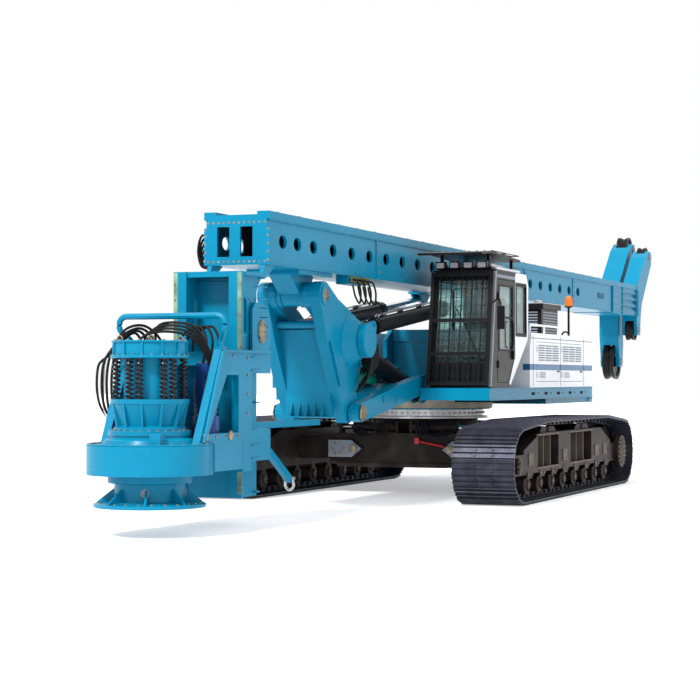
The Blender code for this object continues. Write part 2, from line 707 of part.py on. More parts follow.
def hood_doors():
    """The two louvred side doors, hinged along their front edges."""
    for i, (front, rear) in enumerate(DOOR_EDGES_Y):
        place = "front" if i == 0 else "rear"
        gap = RUN_GAP
        panel = block((DECK_HALF_X - HOOD_WALL + 0.005, DECK_HALF_X), (front + gap, rear - gap),
                      (DOOR_LOW_Z + gap, DOOR_HIGH_Z - gap))
        knuckle = [rod_z(hood_hinge(front), KNUCKLE_R, z, z + 0.08, 8)
                   for z in (DOOR_LOW_Z + 0.06, DOOR_HIGH_Z - 0.14)]
        node(f"hood_door_{place}", f"hood_door_{place}", "white_paint", [panel] + knuckle)


def engine():
    """The engine as one plain block on the deck."""
    node("engine_block", "upper", "chassis_brown",
         [block((-0.35, 1.05), (1.55, 3.15), (DECK_HIGH_Z + SEAT_GAP, 2.02))])


def right_housing():
    """Tanks and pumps behind their panels on the right, with the step and tool box in front."""
    low = DECK_HIGH_Z + SEAT_GAP
    adds = [block((-DECK_HALF_X, RIGHT_HOUSING_X), (RIGHT_HOUSING_FRONT_Y, WEIGHT_FRONT_Y), (low, HOOD_TOP_Z))]
    node("right_housing", "upper", "white_paint", adds)
    box = [block((-DECK_HALF_X, -0.70), (DECK_FRONT_Y, RIGHT_HOUSING_FRONT_Y - SEAT_GAP), (low, 1.80))]
    box.append(block((-DECK_HALF_X, -0.70), (DECK_FRONT_Y - 0.12, DECK_FRONT_Y + 0.01), (low, 1.62)))
    node("tool_box", "upper", "blue_paint", box)


def exhaust_housing():
    """The air and exhaust box on the hood."""
    low = HOOD_TOP_Z + SEAT_GAP
    adds = [block((0.50, 1.12), (1.95, 2.85), (low, 2.62))]
    adds.append(block((0.46, 1.16), (1.90, 2.90), (2.60, 2.68)))
    adds.append(block((0.55, 1.05), (2.84, 3.10), (low, 2.36)))
    node("exhaust_housing", "upper", "black_paint", adds)


def hood_rails():
    """The low white handrail along the outer edge of the hood top."""
    low = HOOD_TOP_Z + SEAT_GAP
    x = DECK_HALF_X - 0.10
    path = rounded_path([(x, 0.35, low), (x, 0.35, 2.32), (x, 1.85, 2.32), (x, 1.85, low)], 0.05, 3)
    node("hood_handrail", "upper", "white_paint",
         [bent_tube(path, 0.016, 6), rod_between((x, 1.1, low), (x, 1.1, 2.315), 0.014, 6)])


def beacon():
    """The orange lamp on its black pole."""
    low = HOOD_TOP_Z + SEAT_GAP
    place = (1.20, 3.20)
    node("beacon", "upper", "orange_lamp",
         [rod_z(place, 0.05, low, low + 0.015, 12), rod_z(place, 0.018, low + 0.01, BEACON_LOW_Z + 0.01, 8),
          rod_z(place, 0.072, BEACON_LOW_Z, BEACON_LOW_Z + 0.12, 12),
          rod_z(place, 0.045, BEACON_LOW_Z + 0.11, BEACON_LOW_Z + 0.16, 12)])


def winch():
    """The main winch on the deck behind the boom: two side plates, and the drum between them."""
    low = DECK_HIGH_Z + SEAT_GAP
    centre = (0.30, 1.86)
    side = [(-0.20, low), (0.95, low), (0.95, 2.02), (0.70, 2.26), (-0.20, 2.26), (-0.42, 2.10), (-0.42, 1.86)]
    adds = [plate_x(side, -0.50, -0.44), plate_x(side, 0.40, 0.46)]
    adds.append(block((-0.45, 0.41), (-0.18, 0.88), (low, 1.50)))
    adds.append(block((-0.45, 0.41), (-0.20, -0.14), (2.08, 2.25)))
    cuts = [bore_x(centre, WINCH_SHAFT_R, -0.6, 0.6, 32)]
    node("winch_frame", "upper", "blue_paint", adds, cuts)
    drum = [rod_x(centre, WINCH_SHAFT_R, -0.50, 0.46, 32), rod_x(centre, 0.22, -0.42, 0.38, 24)]
    drum += [rod_x(centre, 0.30, -0.43, -0.40, 24), rod_x(centre, 0.30, 0.36, 0.39, 24)]
    node("winch_drum", "winch_drum", "chassis_brown", drum)


# ---------------------------------------------------------------- cab
def cab_profile(inset, floor_inset):
    """Side outline of the cab, moved inwards by inset."""
    slope = (CAB_FRONT_TOP_Y - CAB_FRONT_Y) / (CAB_ROOF_Z - CAB_FLOOR_Z)
    low = CAB_FLOOR_Z + floor_inset
    high = CAB_ROOF_Z - inset
    front_low = CAB_FRONT_Y + slope * (low - CAB_FLOOR_Z) + inset
    front_high = CAB_FRONT_Y + slope * (high - CAB_FLOOR_Z) + inset
    return [(front_low, low), (CAB_REAR_FOOT_Y - inset, low), (CAB_REAR_Y - inset, CAB_REAR_KNEE_Z + inset / 2),
            (CAB_REAR_Y - inset, high - 0.12), (CAB_REAR_Y - inset - 0.12, high), (front_high, high)]


def door_outline(inset):
    """The cab door's outline in (y, z), moved inwards by inset."""
    low = CAB_FLOOR_Z + 0.06 + inset
    high = CAB_ROOF_Z - 0.12 - inset
    return [(DOOR_FRONT_Y + inset, low), (-1.02 - inset, low), (DOOR_REAR_Y - inset, 1.86 + inset / 2),
            (DOOR_REAR_Y - inset, high), (DOOR_FRONT_Y + inset, high)]


def cab():
    """The hollow cab shell with its window and door openings."""
    adds = [plate_x(cab_profile(0, 0), CAB_INNER_X, CAB_OUTER_X)]
    cuts = [plate_x(cab_profile(CAB_WALL, CAB_WALL), CAB_INNER_X + CAB_WALL, CAB_OUTER_X - CAB_WALL)]
    cuts.append(plate_x(door_outline(0), CAB_OUTER_X - 0.10, CAB_OUTER_X + 0.1))
    window_x = (CAB_INNER_X + 0.09, CAB_OUTER_X - 0.09)
    cuts.append(block(window_x, (CAB_FRONT_Y - 0.2, CAB_FRONT_TOP_Y + 0.06), (CAB_FLOOR_Z + 0.32, CAB_ROOF_Z - 0.14)))
    cuts.append(block(window_x, (CAB_REAR_Y - 0.1, CAB_REAR_Y + 0.1), (2.30, CAB_ROOF_Z - 0.20)))
    cuts.append(block((CAB_INNER_X - 0.1, CAB_INNER_X + 0.1), (-1.48, -0.30), (2.00, CAB_ROOF_Z - 0.16)))
    cuts.append(block((CAB_OUTER_X - 0.1, CAB_OUTER_X + 0.1), (DOOR_REAR_Y + 0.10, CAB_REAR_Y - 0.10),
                      (2.18, CAB_ROOF_Z - 0.18)))
    node("cab_shell", "upper", "black_paint", adds, cuts)


def cab_hinge():
    """(x, y) of the cab door's hinge."""
    return CAB_OUTER_X + KNUCKLE_R / 2, DOOR_FRONT_Y + RUN_GAP + KNUCKLE_R


def cab_door():
    """The cab door, its window cut, hinged along its front edge."""
    gap = RUN_GAP
    outer = CAB_OUTER_X
    adds = [plate_x(door_outline(gap), outer - CAB_WALL, outer)]
    low = 1.95
    window = [(DOOR_FRONT_Y + 0.09, low), (DOOR_REAR_Y - 0.10, low), (DOOR_REAR_Y - 0.10, CAB_ROOF_Z - 0.21),
              (DOOR_FRONT_Y + 0.09, CAB_ROOF_Z - 0.21)]
    for z in (CAB_FLOOR_Z + 0.25, CAB_ROOF_Z - 0.40):
        adds.append(rod_z(cab_hinge(), KNUCKLE_R, z, z + 0.10, 8))
    adds.append(block((outer - 0.001, outer + 0.03), (DOOR_REAR_Y - 0.12, DOOR_REAR_Y - 0.08), (1.82, 1.94)))
    node("cab_door", "cab_door", "warm_grey", adds, [plate_x(window, outer - 0.1, outer + 0.1)])
    pane = [(y + sign * SEAT_GAP, z) for (y, z), sign in zip(window, (1, -1, -1, 1))]
    pane = [(y, z + shift) for (y, z), shift in zip(pane, (SEAT_GAP, SEAT_GAP, -SEAT_GAP, -SEAT_GAP))]
    middle = outer - CAB_WALL / 2
    node("door_window", "cab_door", "cab_glass", [plate_x(pane, middle - GLASS / 2, middle + GLASS / 2)])


def cab_front():
    """The windscreen, and the guard of bars that stands in front of it."""
    slope = (CAB_FRONT_TOP_Y - CAB_FRONT_Y) / (CAB_ROOF_Z - CAB_FLOOR_Z)
    low, high = CAB_FLOOR_Z + 0.32 + SEAT_GAP, CAB_ROOF_Z - 0.14 - SEAT_GAP
    shift = 0.018

    def front(z):
        return CAB_FRONT_Y + slope * (z - CAB_FLOOR_Z)

    pane = [(front(low) + shift, low), (front(low) + shift + GLASS, low),
            (front(high) + shift + GLASS, high), (front(high) + shift, high)]
    x = (CAB_INNER_X + 0.09 + SEAT_GAP, CAB_OUTER_X - 0.09 - SEAT_GAP)
    node("windscreen", "upper", "cab_glass", [plate_x(pane, x[0], x[1])])

    z0, z1 = CAB_FLOOR_Z + 0.02, CAB_ROOF_Z - 0.03

    def slab(a, b, stand, depth):
        """A leaning flat bar from z = a to z = b, standing off the cab front."""
        return [(front(a) - stand - depth, a), (front(a) - stand, a), (front(b) - stand, b),
                (front(b) - stand - depth, b)]

    left, right = CAB_INNER_X + 0.005, CAB_OUTER_X - 0.005
    frame = slab(z0, z1, 0.045, 0.032)
    adds = [plate_x(frame, left, left + 0.05), plate_x(frame, right - 0.05, right)]
    for z in (z0 + 0.005, 1.86, 2.30, z1 - 0.06):
        adds.append(plate_x(slab(z, z + 0.05, 0.049, 0.024), left + 0.02, right - 0.02))
    for i in range(1, 6):
        x_bar = left + (right - left) * i / 6
        adds.append(plate_x(slab(z0 + 0.015, z1 - 0.025, 0.053, 0.016), x_bar - 0.008, x_bar + 0.008))
    for z in (z0 + 0.02, z1 - 0.08):
        foot = [(front(z) - 0.055, z), (front(z) - SEAT_GAP, z), (front(z + 0.05) - SEAT_GAP, z + 0.05),
                (front(z + 0.05) - 0.055, z + 0.05)]
        adds.append(plate_x(foot, left + 0.005, left + 0.042))
        adds.append(plate_x(foot, right - 0.042, right - 0.005))
    node("cab_guard", "upper", "black_paint", adds)


def cab_roof():
    """The plate that guards the roof, on posts, with the bar of work lamps below its front."""
    low = CAB_ROOF_Z + SEAT_GAP
    front, peak, rear = (-2.02, 3.16), (-1.60, 3.20), (-0.30, 3.15)
    thick = 0.03
    plate = [front, peak, rear] + [(y, z + thick) for y, z in (rear, peak, front)]
    adds = [plate_x(plate, ROOF_GUARD_INNER_X, 1.46)]
    fall = (rear[1] - peak[1]) / (rear[0] - peak[0])
    for x in (0.70, 1.34):
        for y in (-1.45, -0.42):
            top = peak[1] + fall * (y - peak[0]) + thick / 2
            adds.append(block((x, x + 0.04), (y, y + 0.04), (low, top)))
    adds.append(block((0.66, 1.44), (-1.545, -1.40), (low + 0.01, 3.03)))
    for i in range(4):
        x = 0.68 + 0.19 * i
        adds.append(block((x, x + 0.14), (-1.60, -1.53), (low + 0.01, 3.10)))
    node("roof_guard", "upper", "black_paint", adds)


def cab_inside():
    """The operator's seat, and the console in front of it."""
    floor = CAB_FLOOR_Z + CAB_WALL + SEAT_GAP
    middle = (CAB_INNER_X + CAB_OUTER_X) / 2
    adds = [block((middle - 0.16, middle + 0.16), (-1.18, -1.04), (floor, 1.86))]
    adds.append(block((middle - 0.25, middle + 0.25), (-1.22, -0.70), (1.84, 1.98)))
    back = [(-0.80, 1.92), (-0.68, 1.92), (-0.50, 2.62), (-0.60, 2.66)]
    adds.append(plate_x(back, middle - 0.24, middle + 0.24))
    node("operator_seat", "upper", "seat_fabric", adds)
    desk = [(-1.68, floor), (-1.50, floor), (-1.46, 1.95), (-1.62, 2.05)]
    node("operator_console", "upper", "black_paint", [plate_x(desk, middle - 0.18, middle + 0.18)])


# ---------------------------------------------------------------- cylinders
def unit(base, head):
    """Length and unit vector from base to head in (y, z)."""
    length = math.dist(base, head)
    return length, ((head[0] - base[0]) / length, (head[1] - base[1]) / length)


def along(base, direction, distance, x):
    """The point that far from base along direction, at x."""
    return x, base[0] + direction[0] * distance, base[1] + direction[1] * distance


def cylinders(kind, base, head, x, barrel_r, rod_r, barrel_share):
    """A pair of hydraulic cylinders: barrels hinged at base, rods that end in an eye at head."""
    length, direction = unit(base, head)
    barrel_end = length * barrel_share
    for side, word in ((1, "left"), (-1, "right")):
        middle = side * x
        barrel = [rod_x(base, EYE_R, middle - EYE_WIDTH / 2, middle + EYE_WIDTH / 2)]
        barrel.append(rod_between(along(base, direction, EYE_R * 0.6, middle),
                                  along(base, direction, EYE_R + 0.09, middle), EYE_WIDTH / 2 - 0.004, 12))
        barrel.append(rod_between(along(base, direction, EYE_R + 0.06, middle),
                                  along(base, direction, barrel_end, middle), barrel_r, 16))
        barrel.append(rod_between(along(base, direction, barrel_end - 0.10, middle),
                                  along(base, direction, barrel_end + 0.04, middle), barrel_r + 0.012, 16))
        bore_start = EYE_R + 0.22
        cuts = [rod_between(along(base, direction, bore_start, middle),
                            along(base, direction, barrel_end + 0.2, middle), rod_r + PIN_GAP, 16)]
        cuts.append(bore_x(base, EYE_PIN_R, middle - 0.1, middle + 0.1))
        node(f"{kind}_barrel_{word}", f"{kind}_barrels", "black_paint", barrel, cuts)
        rod = [rod_between(along(base, direction, bore_start + 0.02, middle),
                           along(base, direction, length - EYE_R - 0.13, middle), rod_r, 16)]
        rod.append(rod_between(along(base, direction, length - EYE_R - 0.16, middle),
                               along(base, direction, length - EYE_R * 0.6, middle), EYE_WIDTH / 2 - 0.004, 12))
        rod.append(rod_x(head, EYE_R, middle - EYE_WIDTH / 2, middle + EYE_WIDTH / 2))
        node(f"{kind}_rod_{word}", f"{kind}_rods", "chrome", rod)


# ---------------------------------------------------------------- boom and support frame
def boom():
    """The lower arm: two side boxes, a cross box, and the pins at its ends."""
    arm = hull([(BOOM_PIVOT[0], BOOM_PIVOT[1], 0.12), (-2.60, 1.48, 0.0), (BOOM_HEAD[0], BOOM_HEAD[1], 0.11),
                (-2.50, 1.24, 0.0)])
    adds = pair(plate_x(arm, BOOM_INNER_X, BOOM_OUTER_X))
    box = [(-3.05, 1.195), (-2.10, 1.30), (-2.10, 1.50), (-3.05, 1.38)]
    adds.append(plate_x(box, -BOOM_INNER_X - 0.02, BOOM_INNER_X + 0.02))
    adds += pair(rod_x(BOOM_PIVOT, BOOM_PIN_R, BOOM_OUTER_X - 0.02, SLOT_HALF_X + 0.075))
    adds.append(rod_x(BOOM_HEAD, BOOM_PIN_R, -BOOM_OUTER_X - 0.02, BOOM_OUTER_X + 0.02))
    node("boom", "boom", "blue_paint", adds)


def support_frame():
    """The upright frame at the boom's end: twin plates, cross tube, centre panel and lugs."""
    y, z = BOOM_HEAD
    side = [(-4.06, 1.03), (y, 1.03), (-3.78, 1.10), (-3.72, 1.35), (-3.60, 1.68), (-3.64, 2.22)]
    side += [(-3.94, 2.38), (-4.33, 2.51)]
    side += arc(MAST_PIVOT, 0.16, 70, 215, 6)
    side += [(-4.64, 1.96), (-4.33, 1.43)]
    adds = pair(plate_x(side, FRAME_INNER_X, FRAME_OUTER_X))
    head = hull([(*MAST_PIVOT, 0.155), (-4.38, 2.20, 0), (-4.20, 2.44, 0)])
    adds += pair(plate_x(head, 0.17, FRAME_INNER_X + 0.02))
    adds.append(rod_x(CROSS_TUBE, CROSS_TUBE_R, -CROSS_TUBE_HALF_X, CROSS_TUBE_HALF_X, 20))
    panel = [(-4.30, 1.10), (-4.22, 1.10), (-4.22, 1.36), (-4.46, 2.14), (-4.54, 2.14), (-4.30, 1.36)]
    adds.append(plate_x(panel, -FRAME_INNER_X - 0.02, FRAME_INNER_X + 0.02))
    adds.append(rod_x((-4.46, 2.21), 0.05, -FRAME_INNER_X - 0.02, FRAME_INNER_X + 0.02, 12))
    tube_y, tube_z = CROSS_TUBE
    for x in ear_places(MAST_CYL_X):
        ear = hull([(tube_y, tube_z - 0.10, 0.06), (*MAST_CYL_BASE, 0.085), (tube_y, tube_z + 0.12, 0.06)])
        adds += pair(plate_x(ear, x, x + EAR))
    for x in ear_places(LUFF_X):
        ear = hull([(tube_y, tube_z - 0.12, 0.06), (*LUFF_HEAD, 0.085), (tube_y, tube_z + 0.08, 0.06)])
        adds += pair(plate_x(ear, x, x + EAR))
    first, last = ear_places(MAST_CYL_X)
    adds += pair(rod_x(MAST_CYL_BASE, EYE_PIN_R, first + 0.005, last + EAR + 0.015, 12))
    adds.append(rod_x(MAST_PIVOT, MAST_PIN_R, -FRAME_INNER_X, FRAME_INNER_X))
    cuts = [bore_x(BOOM_HEAD, BOOM_PIN_R, -0.6, 0.6)]
    node("support_frame", "support_frame", "blue_paint", adds, cuts)


# ---------------------------------------------------------------- mast
def ellipse(y, z, half_y, half_z, sides=12):
    """A lying oval in (y, z)."""
    turns = [2 * math.pi * i / sides for i in range(sides)]
    return [(y + half_y * math.cos(turn), z + half_z * math.sin(turn)) for turn in turns]


def oval(y, z, half_y, half_z, steps=2):
    """An upright slot with round ends in (y, z)."""
    return (arc((y, z + half_z - half_y), half_y, 0, 180, steps)
            + arc((y, z - half_z + half_y), half_y, 180, 360, steps))


def pivot_parts():
    """The banded tube that turns on the support frame's head, and its saddle under the mast."""
    half = 0.17 - RUN_GAP
    y, z = MAST_PIVOT
    top = MAST_LOW_Z + 0.01
    web = [(y - 0.12, z), (y + 0.12, z), (y + 0.30, top - 0.03), (y + 0.30, top), (y - 0.45, top),
           (y - 0.45, top - 0.03)]
    parts = [rod_x(MAST_PIVOT, MAST_PIVOT_R, -half, half, 24)]
    parts += pair(rod_x(MAST_PIVOT, MAST_PIVOT_R + 0.015, half - 0.05, half, 24))
    parts.append(plate_x(web, -half + 0.03, half - 0.03))
    parts.append(block((-0.33, 0.33), (y - 0.60, y + 0.40), (top - 0.06, top)))
    return parts


def lug_parts():
    """The saddle plate and ears under the mast that take the mast cylinders' rod eyes."""
    y, z = MAST_CYL_HEAD
    reach = MAST_CYL_X + 0.09
    parts = [block((-reach, reach), (y - 0.28, y + 0.28), (MAST_LOW_Z - 0.012, MAST_LOW_Z + 0.02))]
    ear = hull([(y, z, 0.07), (y + 0.24, MAST_LOW_Z, 0), (y - 0.24, MAST_LOW_Z, 0)])
    for x in ear_places(MAST_CYL_X):
        parts += pair(plate_x(ear, x, x + EAR))
    return parts


def fold_parts():
    """The ears and pins under the front of the mast that the lower mast folds on."""
    y, z = FOLD_HINGE
    ears = hull([(y, z, FOLD_EYE_R), (y + 0.30, MAST_LOW_Z + 0.005, 0), (MAST_FRONT_Y + 0.01, MAST_LOW_Z + 0.005, 0)])
    parts = pair(plate_x(ears, 0.29 + RUN_GAP, 0.345))
    parts += pair(rod_x(FOLD_HINGE, FOLD_PIN_R, 0.21, 0.34, 12))
    return parts


def upper_mast():
    """The hollow main box with its rails, front plate and oval holes, and what is welded under it."""
    y0, y1 = MAST_FRONT_Y, MAST_HEAD_FRONT_Y
    adds = [block((-MAST_HALF_X, MAST_HALF_X), (y0, y1), (MAST_LOW_Z, MAST_HIGH_Z))]
    adds += pair(block((0.25, MAST_RAIL_X), (y0, y1), (3.31, MAST_RAIL_Z)))
    adds += pair(block((MAST_HALF_X - 0.02, MAST_RAIL_X), (y0, y0 + 0.03), (MAST_LOW_Z, 3.22)))
    w = MAST_WALL
    cuts = [block((-MAST_HALF_X + w, MAST_HALF_X - w), (y0 + w, y1 + 0.1), (MAST_LOW_Z + w, MAST_HIGH_Z - w))]
    for low, high in ((-0.235, -0.085), (0.045, 0.195)):
        cuts.append(block((low, high), (y0 - 0.1, y0 + 0.1), (2.90, 3.23)))
    places = list(FRONT_HOLES_Y) + [HOLE_FIRST_Y + HOLE_PITCH * i for i in range(HOLE_COUNT)]
    for y in places:
        cuts.append(plate_x(ellipse(y, HOLE_Z, HOLE_HALF_Y, HOLE_HALF_Z), -0.5, 0.5))
    bore = pair(bore_x(MAST_PIVOT, MAST_PIN_R, -0.01, 0.5))
    adds += pivot_parts() + lug_parts() + fold_parts()
    node("upper_mast", "mast", "blue_paint", adds, cuts + bore)


def arm_outline(upper, lower):
    """The crooked plate from the lower sheave past the mast's end to the upper sheave."""
    rear = MAST_REAR_Y - 0.02
    return [(rear, lower[1] + 0.50), (lower[0] - 0.14, lower[1] + 0.15), (lower[0] - 0.12, lower[1] - 0.10),
            (lower[0] + 0.12, lower[1] - 0.10), (lower[0] + 0.20, lower[1] + 0.30), (rear + 0.42, 3.05),
            (upper[0] + 0.12, upper[1] - 0.14), (upper[0] + 0.12, upper[1] + 0.10),
            (upper[0] - 0.12, upper[1] + 0.12), (upper[0] - 0.40, upper[1] - 0.02), (rear, 3.38)]


def mast_head():
    """The block that closes the mast with its two crooked sheave arms, and the four sheaves."""
    y0, y1 = MAST_HEAD_FRONT_Y + SEAT_GAP, MAST_REAR_Y
    adds = [block((-MAST_HALF_X - 0.01, MAST_HALF_X + 0.01), (y0, y1), (MAST_LOW_Z - 0.01, MAST_RAIL_Z - 0.005))]
    adds += pair(block((0.25, MAST_RAIL_X), (y0, y1), (3.31, MAST_RAIL_Z)))
    cuts = []
    for i in range(3):
        z = 2.90 + 0.125 * i
        cuts += pair(block((MAST_HALF_X - 0.02, MAST_HALF_X + 0.1), (10.25, 11.32), (z, z + 0.06)))
    pins = []
    for name, low, high, width, upper, upper_r, lower, lower_r in HEAD_ARMS:
        middle = (low + high) / 2
        adds.append(plate_x(arm_outline(upper, lower), low, high))
        for place, centre, radius in (("upper", upper, upper_r), ("lower", lower, lower_r)):
            cuts.append(rod_x(centre, radius + 0.03, middle - width / 2 - RUN_GAP, middle + width / 2 + RUN_GAP, 20))
            pins.append(rod_x(centre, SHEAVE_AXLE_R, low + 0.01, high - 0.01))
            sheave = rod_x(centre, radius, middle - width / 2, middle + width / 2, 24)
            bore = bore_x(centre, SHEAVE_AXLE_R, low, high)
            node(f"{name}_sheave_{place}", f"{name}_sheave_{place}", "black_paint", [sheave], [bore])
    node("mast_head", "mast", "blue_paint", adds, cuts, pins)


def valve_block():
    """The distribution valve under the mast's left edge."""
    top = MAST_LOW_Z - SEAT_GAP
    adds = [block((0.20, 0.36), (-3.90, -3.35), (top - 0.10, top))]
    for i in range(4):
        y = -3.85 + 0.13 * i
        adds.append(block((0.355, 0.375), (y, y + 0.06), (top - 0.08, top - 0.02)))
    node("valve_block", "mast", "brass", adds)


# ---------------------------------------------------------------- lower mast
def lower_mast():
    """The hanging foot of the mast: box, recess, rails, flanges, hinge lugs and transport stay."""
    z0, z1 = LOWER_FOOT_Z, LOWER_TOP_Z
    y0, y1 = LOWER_RAIL_Y, LOWER_REAR_Y
    rail_back = y0 + LOWER_RAIL_DEPTH
    adds = [block((-LOWER_HALF_X, LOWER_HALF_X), (y0 + 0.02, y1), (z0, z1))]
    adds += pair(block((LOWER_HALF_X - 0.08, LOWER_RAIL_X), (y0, rail_back), (z0, z1)))
    adds.append(block((-LOWER_RAIL_X, LOWER_RAIL_X), (rail_back + 0.05, y1), (z1 - 0.04, z1)))
    root = hull([(*FOLD_HINGE, FOLD_EYE_R), (y1 - 0.02, z1 - 0.05, 0), (y1 - 0.02, z1 - 0.32, 0)])
    adds += pair(plate_x(root, 0.20, 0.29))
    stay = [(y1 - 0.02, 1.02), (-4.66, 1.02), (-4.66, 1.09), (y1 - 0.02, 1.09)]
    adds.append(plate_x(stay, 0.26, 0.31))
    strut = [(y1 - 0.02, 1.06), (y1 + 0.12, 1.06), (-5.30, 0.44), (-5.36, 0.38)]
    adds.append(plate_x(strut, 0.18, 0.24))
    brace = hull([(-6.46, 2.36, 0), (-6.40, 1.70, 0), (-6.22, 2.06, 0.07)])
    adds += pair(plate_x(brace, LOWER_HALF_X - 0.02, LOWER_HALF_X + 0.02))
    adds += pair(block((LOWER_HALF_X - 0.05, LOWER_HALF_X + 0.02), (y1 - 0.02, -6.36), (1.70, 2.36)))
    cuts = [block((-LOWER_RECESS, LOWER_RECESS), (y0 - 0.1, y0 + 0.30), (z0 + 0.30, z1 - 0.06))]
    cuts.append(plate_x(oval(-6.80, 2.24, 0.05, 0.20), -0.5, 0.5))
    cuts += pair(bore_x(FOLD_HINGE, FOLD_PIN_R, 0.15, 0.40))
    node("lower_mast", "lower_mast", "blue_paint", adds, cuts)


# ---------------------------------------------------------------- rotary drive
def gearbox():
    """The gear housing that carries the rotating sleeve."""
    low, high = GEARBOX_LOW_Z, GEARBOX_HIGH_Z
    centre = (0, ROTARY_Y)
    adds = [rod_z(centre, GEARBOX_R, low, high, 32)]
    adds.append(block((-GEARBOX_HALF_X, GEARBOX_HALF_X), (ROTARY_Y, -7.32), (low, high)))
    adds.append(rod_z(centre, 0.42, low - 0.10, low + 0.02, 28))
    adds.append(rod_z(centre, HOUSING_R, high - 0.02, HOUSING_TOP_Z, 28))
    node("rotary_gearbox", "rotary_drive", "blue_paint", adds,
         [rod_z(centre, SLEEVE_R + RUN_GAP, 0, 3, 28)])


def carriage():
    """The slide that carries the gearbox on the mast rails: side plates, back plate, guide shoes."""
    base = GEARBOX_HIGH_Z + SEAT_GAP
    rail = LOWER_RAIL_Y - SLIDE_GAP
    outline = [(-8.34, base), (-7.34, base), (-7.10, base), (-7.10, 1.62), (-6.62, 1.62), (-6.62, 1.82),
               (-7.10, 1.86), (-7.84, 1.86)]
    hole = [(-8.12, base + 0.10), (-7.42, base + 0.10), (-7.42, 1.60), (-7.70, 1.60)]
    adds = pair(plate_x(outline, SIDE_PLATE_INNER_X, SIDE_PLATE_OUTER_X))
    adds += pair(block((SIDE_PLATE_INNER_X, SIDE_PLATE_OUTER_X), (-7.315, -6.62), (0.70, base + 0.12)))
    adds += pair(block((SIDE_PLATE_INNER_X, SIDE_PLATE_OUTER_X), (-7.315, -7.09), (0.60, 1.70)))
    adds.append(block((-SIDE_PLATE_OUTER_X, SIDE_PLATE_OUTER_X), (-7.25, -7.10), (0.66, 1.84)))
    for z in (0.72, 1.64):
        adds += pair(block((0.28, LOWER_RAIL_X + 0.09), (-7.12, rail), (z, z + 0.16)))
        hook_front = LOWER_RAIL_Y + LOWER_RAIL_DEPTH + RUN_GAP
        adds += pair(block((LOWER_RAIL_X + RUN_GAP, SIDE_PLATE_OUTER_X), (-7.12, -6.90), (z, z + 0.16)))
        adds += pair(block((LOWER_HALF_X + RUN_GAP, SIDE_PLATE_OUTER_X), (hook_front, -6.88), (z, z + 0.16)))
    adds.append(block((-0.30, 0.30), (-7.50, -7.20), (1.70, 1.84)))
    cuts = pair(plate_x(hole, SIDE_PLATE_INNER_X - 0.1, SIDE_PLATE_OUTER_X + 0.1))
    cuts.append(block((-0.24, 0.24), (-7.40, -6.9), (1.02, 1.56)))
    node("rotary_carriage", "rotary_drive", "blue_paint", adds, cuts)


def rotary_motors():
    """The two hydraulic motors that stand on the gearbox behind the sleeve."""
    for side, word in ((1, "left"), (-1, "right")):
        place = (side * 0.31, -7.70)
        base = GEARBOX_HIGH_Z + SEAT_GAP
        adds = [rod_z(place, 0.145, base, 1.18, 20), rod_z(place, 0.12, 1.17, 1.56, 20),
                rod_z(place, 0.10, 1.55, 1.72, 16)]
        node(f"rotary_motor_{word}", "rotary_drive", "deep_blue_paint", adds)


def guard_hoop():
    """The tubular hoop over the rotary drive."""
    low = 1.86 + SEAT_GAP
    x = SIDE_PLATE_OUTER_X - 0.04
    foot_y = HOOP_Y + 0.10
    half = [(x, foot_y, low), (x, foot_y, low + 0.09), (HOOP_HALF_X, HOOP_Y, low + 0.20), (HOOP_HALF_X, HOOP_Y, HOOP_TOP_Z)]
    corners = [(-a, b, c) for a, b, c in half] + half[::-1]
    adds = [bent_tube(rounded_path(corners, 0.08, 4), HOOP_TUBE_R, 8)]
    adds += pair(block((x - 0.039, x + 0.039), (foot_y - 0.06, foot_y + 0.06), (low, low + 0.03)))
    node("guard_hoop", "rotary_drive", "blue_paint", adds)


def sleeve():
    """The rotating sleeve: casing flange with gussets, long tube, and the absorber's cone."""
    centre = (0, ROTARY_Y)
    z0 = CASING_FLANGE_Z
    neck_top = GEARBOX_LOW_Z - 0.10 - RUN_GAP
    seat = HOUSING_TOP_Z + SLIDE_GAP
    cone_r = ABSORBER_R + 0.01
    profile = [(PASSAGE_R, z0), (CASING_FLANGE_R, z0), (CASING_FLANGE_R, z0 + 0.035), (0.353, z0 + 0.06),
               (0.353, neck_top), (SLEEVE_R, neck_top), (SLEEVE_R, seat), (0.36, seat), (0.36, seat + 0.03),
               (0.30, seat + 0.05), (cone_r - 0.03, 1.28), (cone_r, ABSORBER_FLANGE_Z), (cone_r, SPRING_LOW_Z),
               (SLEEVE_R, SPRING_LOW_Z), (SLEEVE_R, ABSORBER_TOP_Z - 0.02), (PASSAGE_R, ABSORBER_TOP_Z - 0.02)]
    adds = [turned(profile, centre)]
    outline = [(0.34, z0 + 0.02), (0.53, z0 + 0.02), (0.53, z0 + 0.05), (0.34, z0 + 0.20)]
    for i in range(8):
        gusset = plate_x(outline, -0.012, 0.012)
        turn = Matrix.Rotation(2 * math.pi * (i + 0.5) / 8, 3, "Z")
        bmesh.ops.rotate(gusset, verts=gusset.verts, cent=(0, 0, 0), matrix=turn)
        bmesh.ops.translate(gusset, verts=gusset.verts, vec=(0, ROTARY_Y, 0))
        adds.append(gusset)
    node("drive_sleeve", "drive_sleeve", "blue_paint", adds)


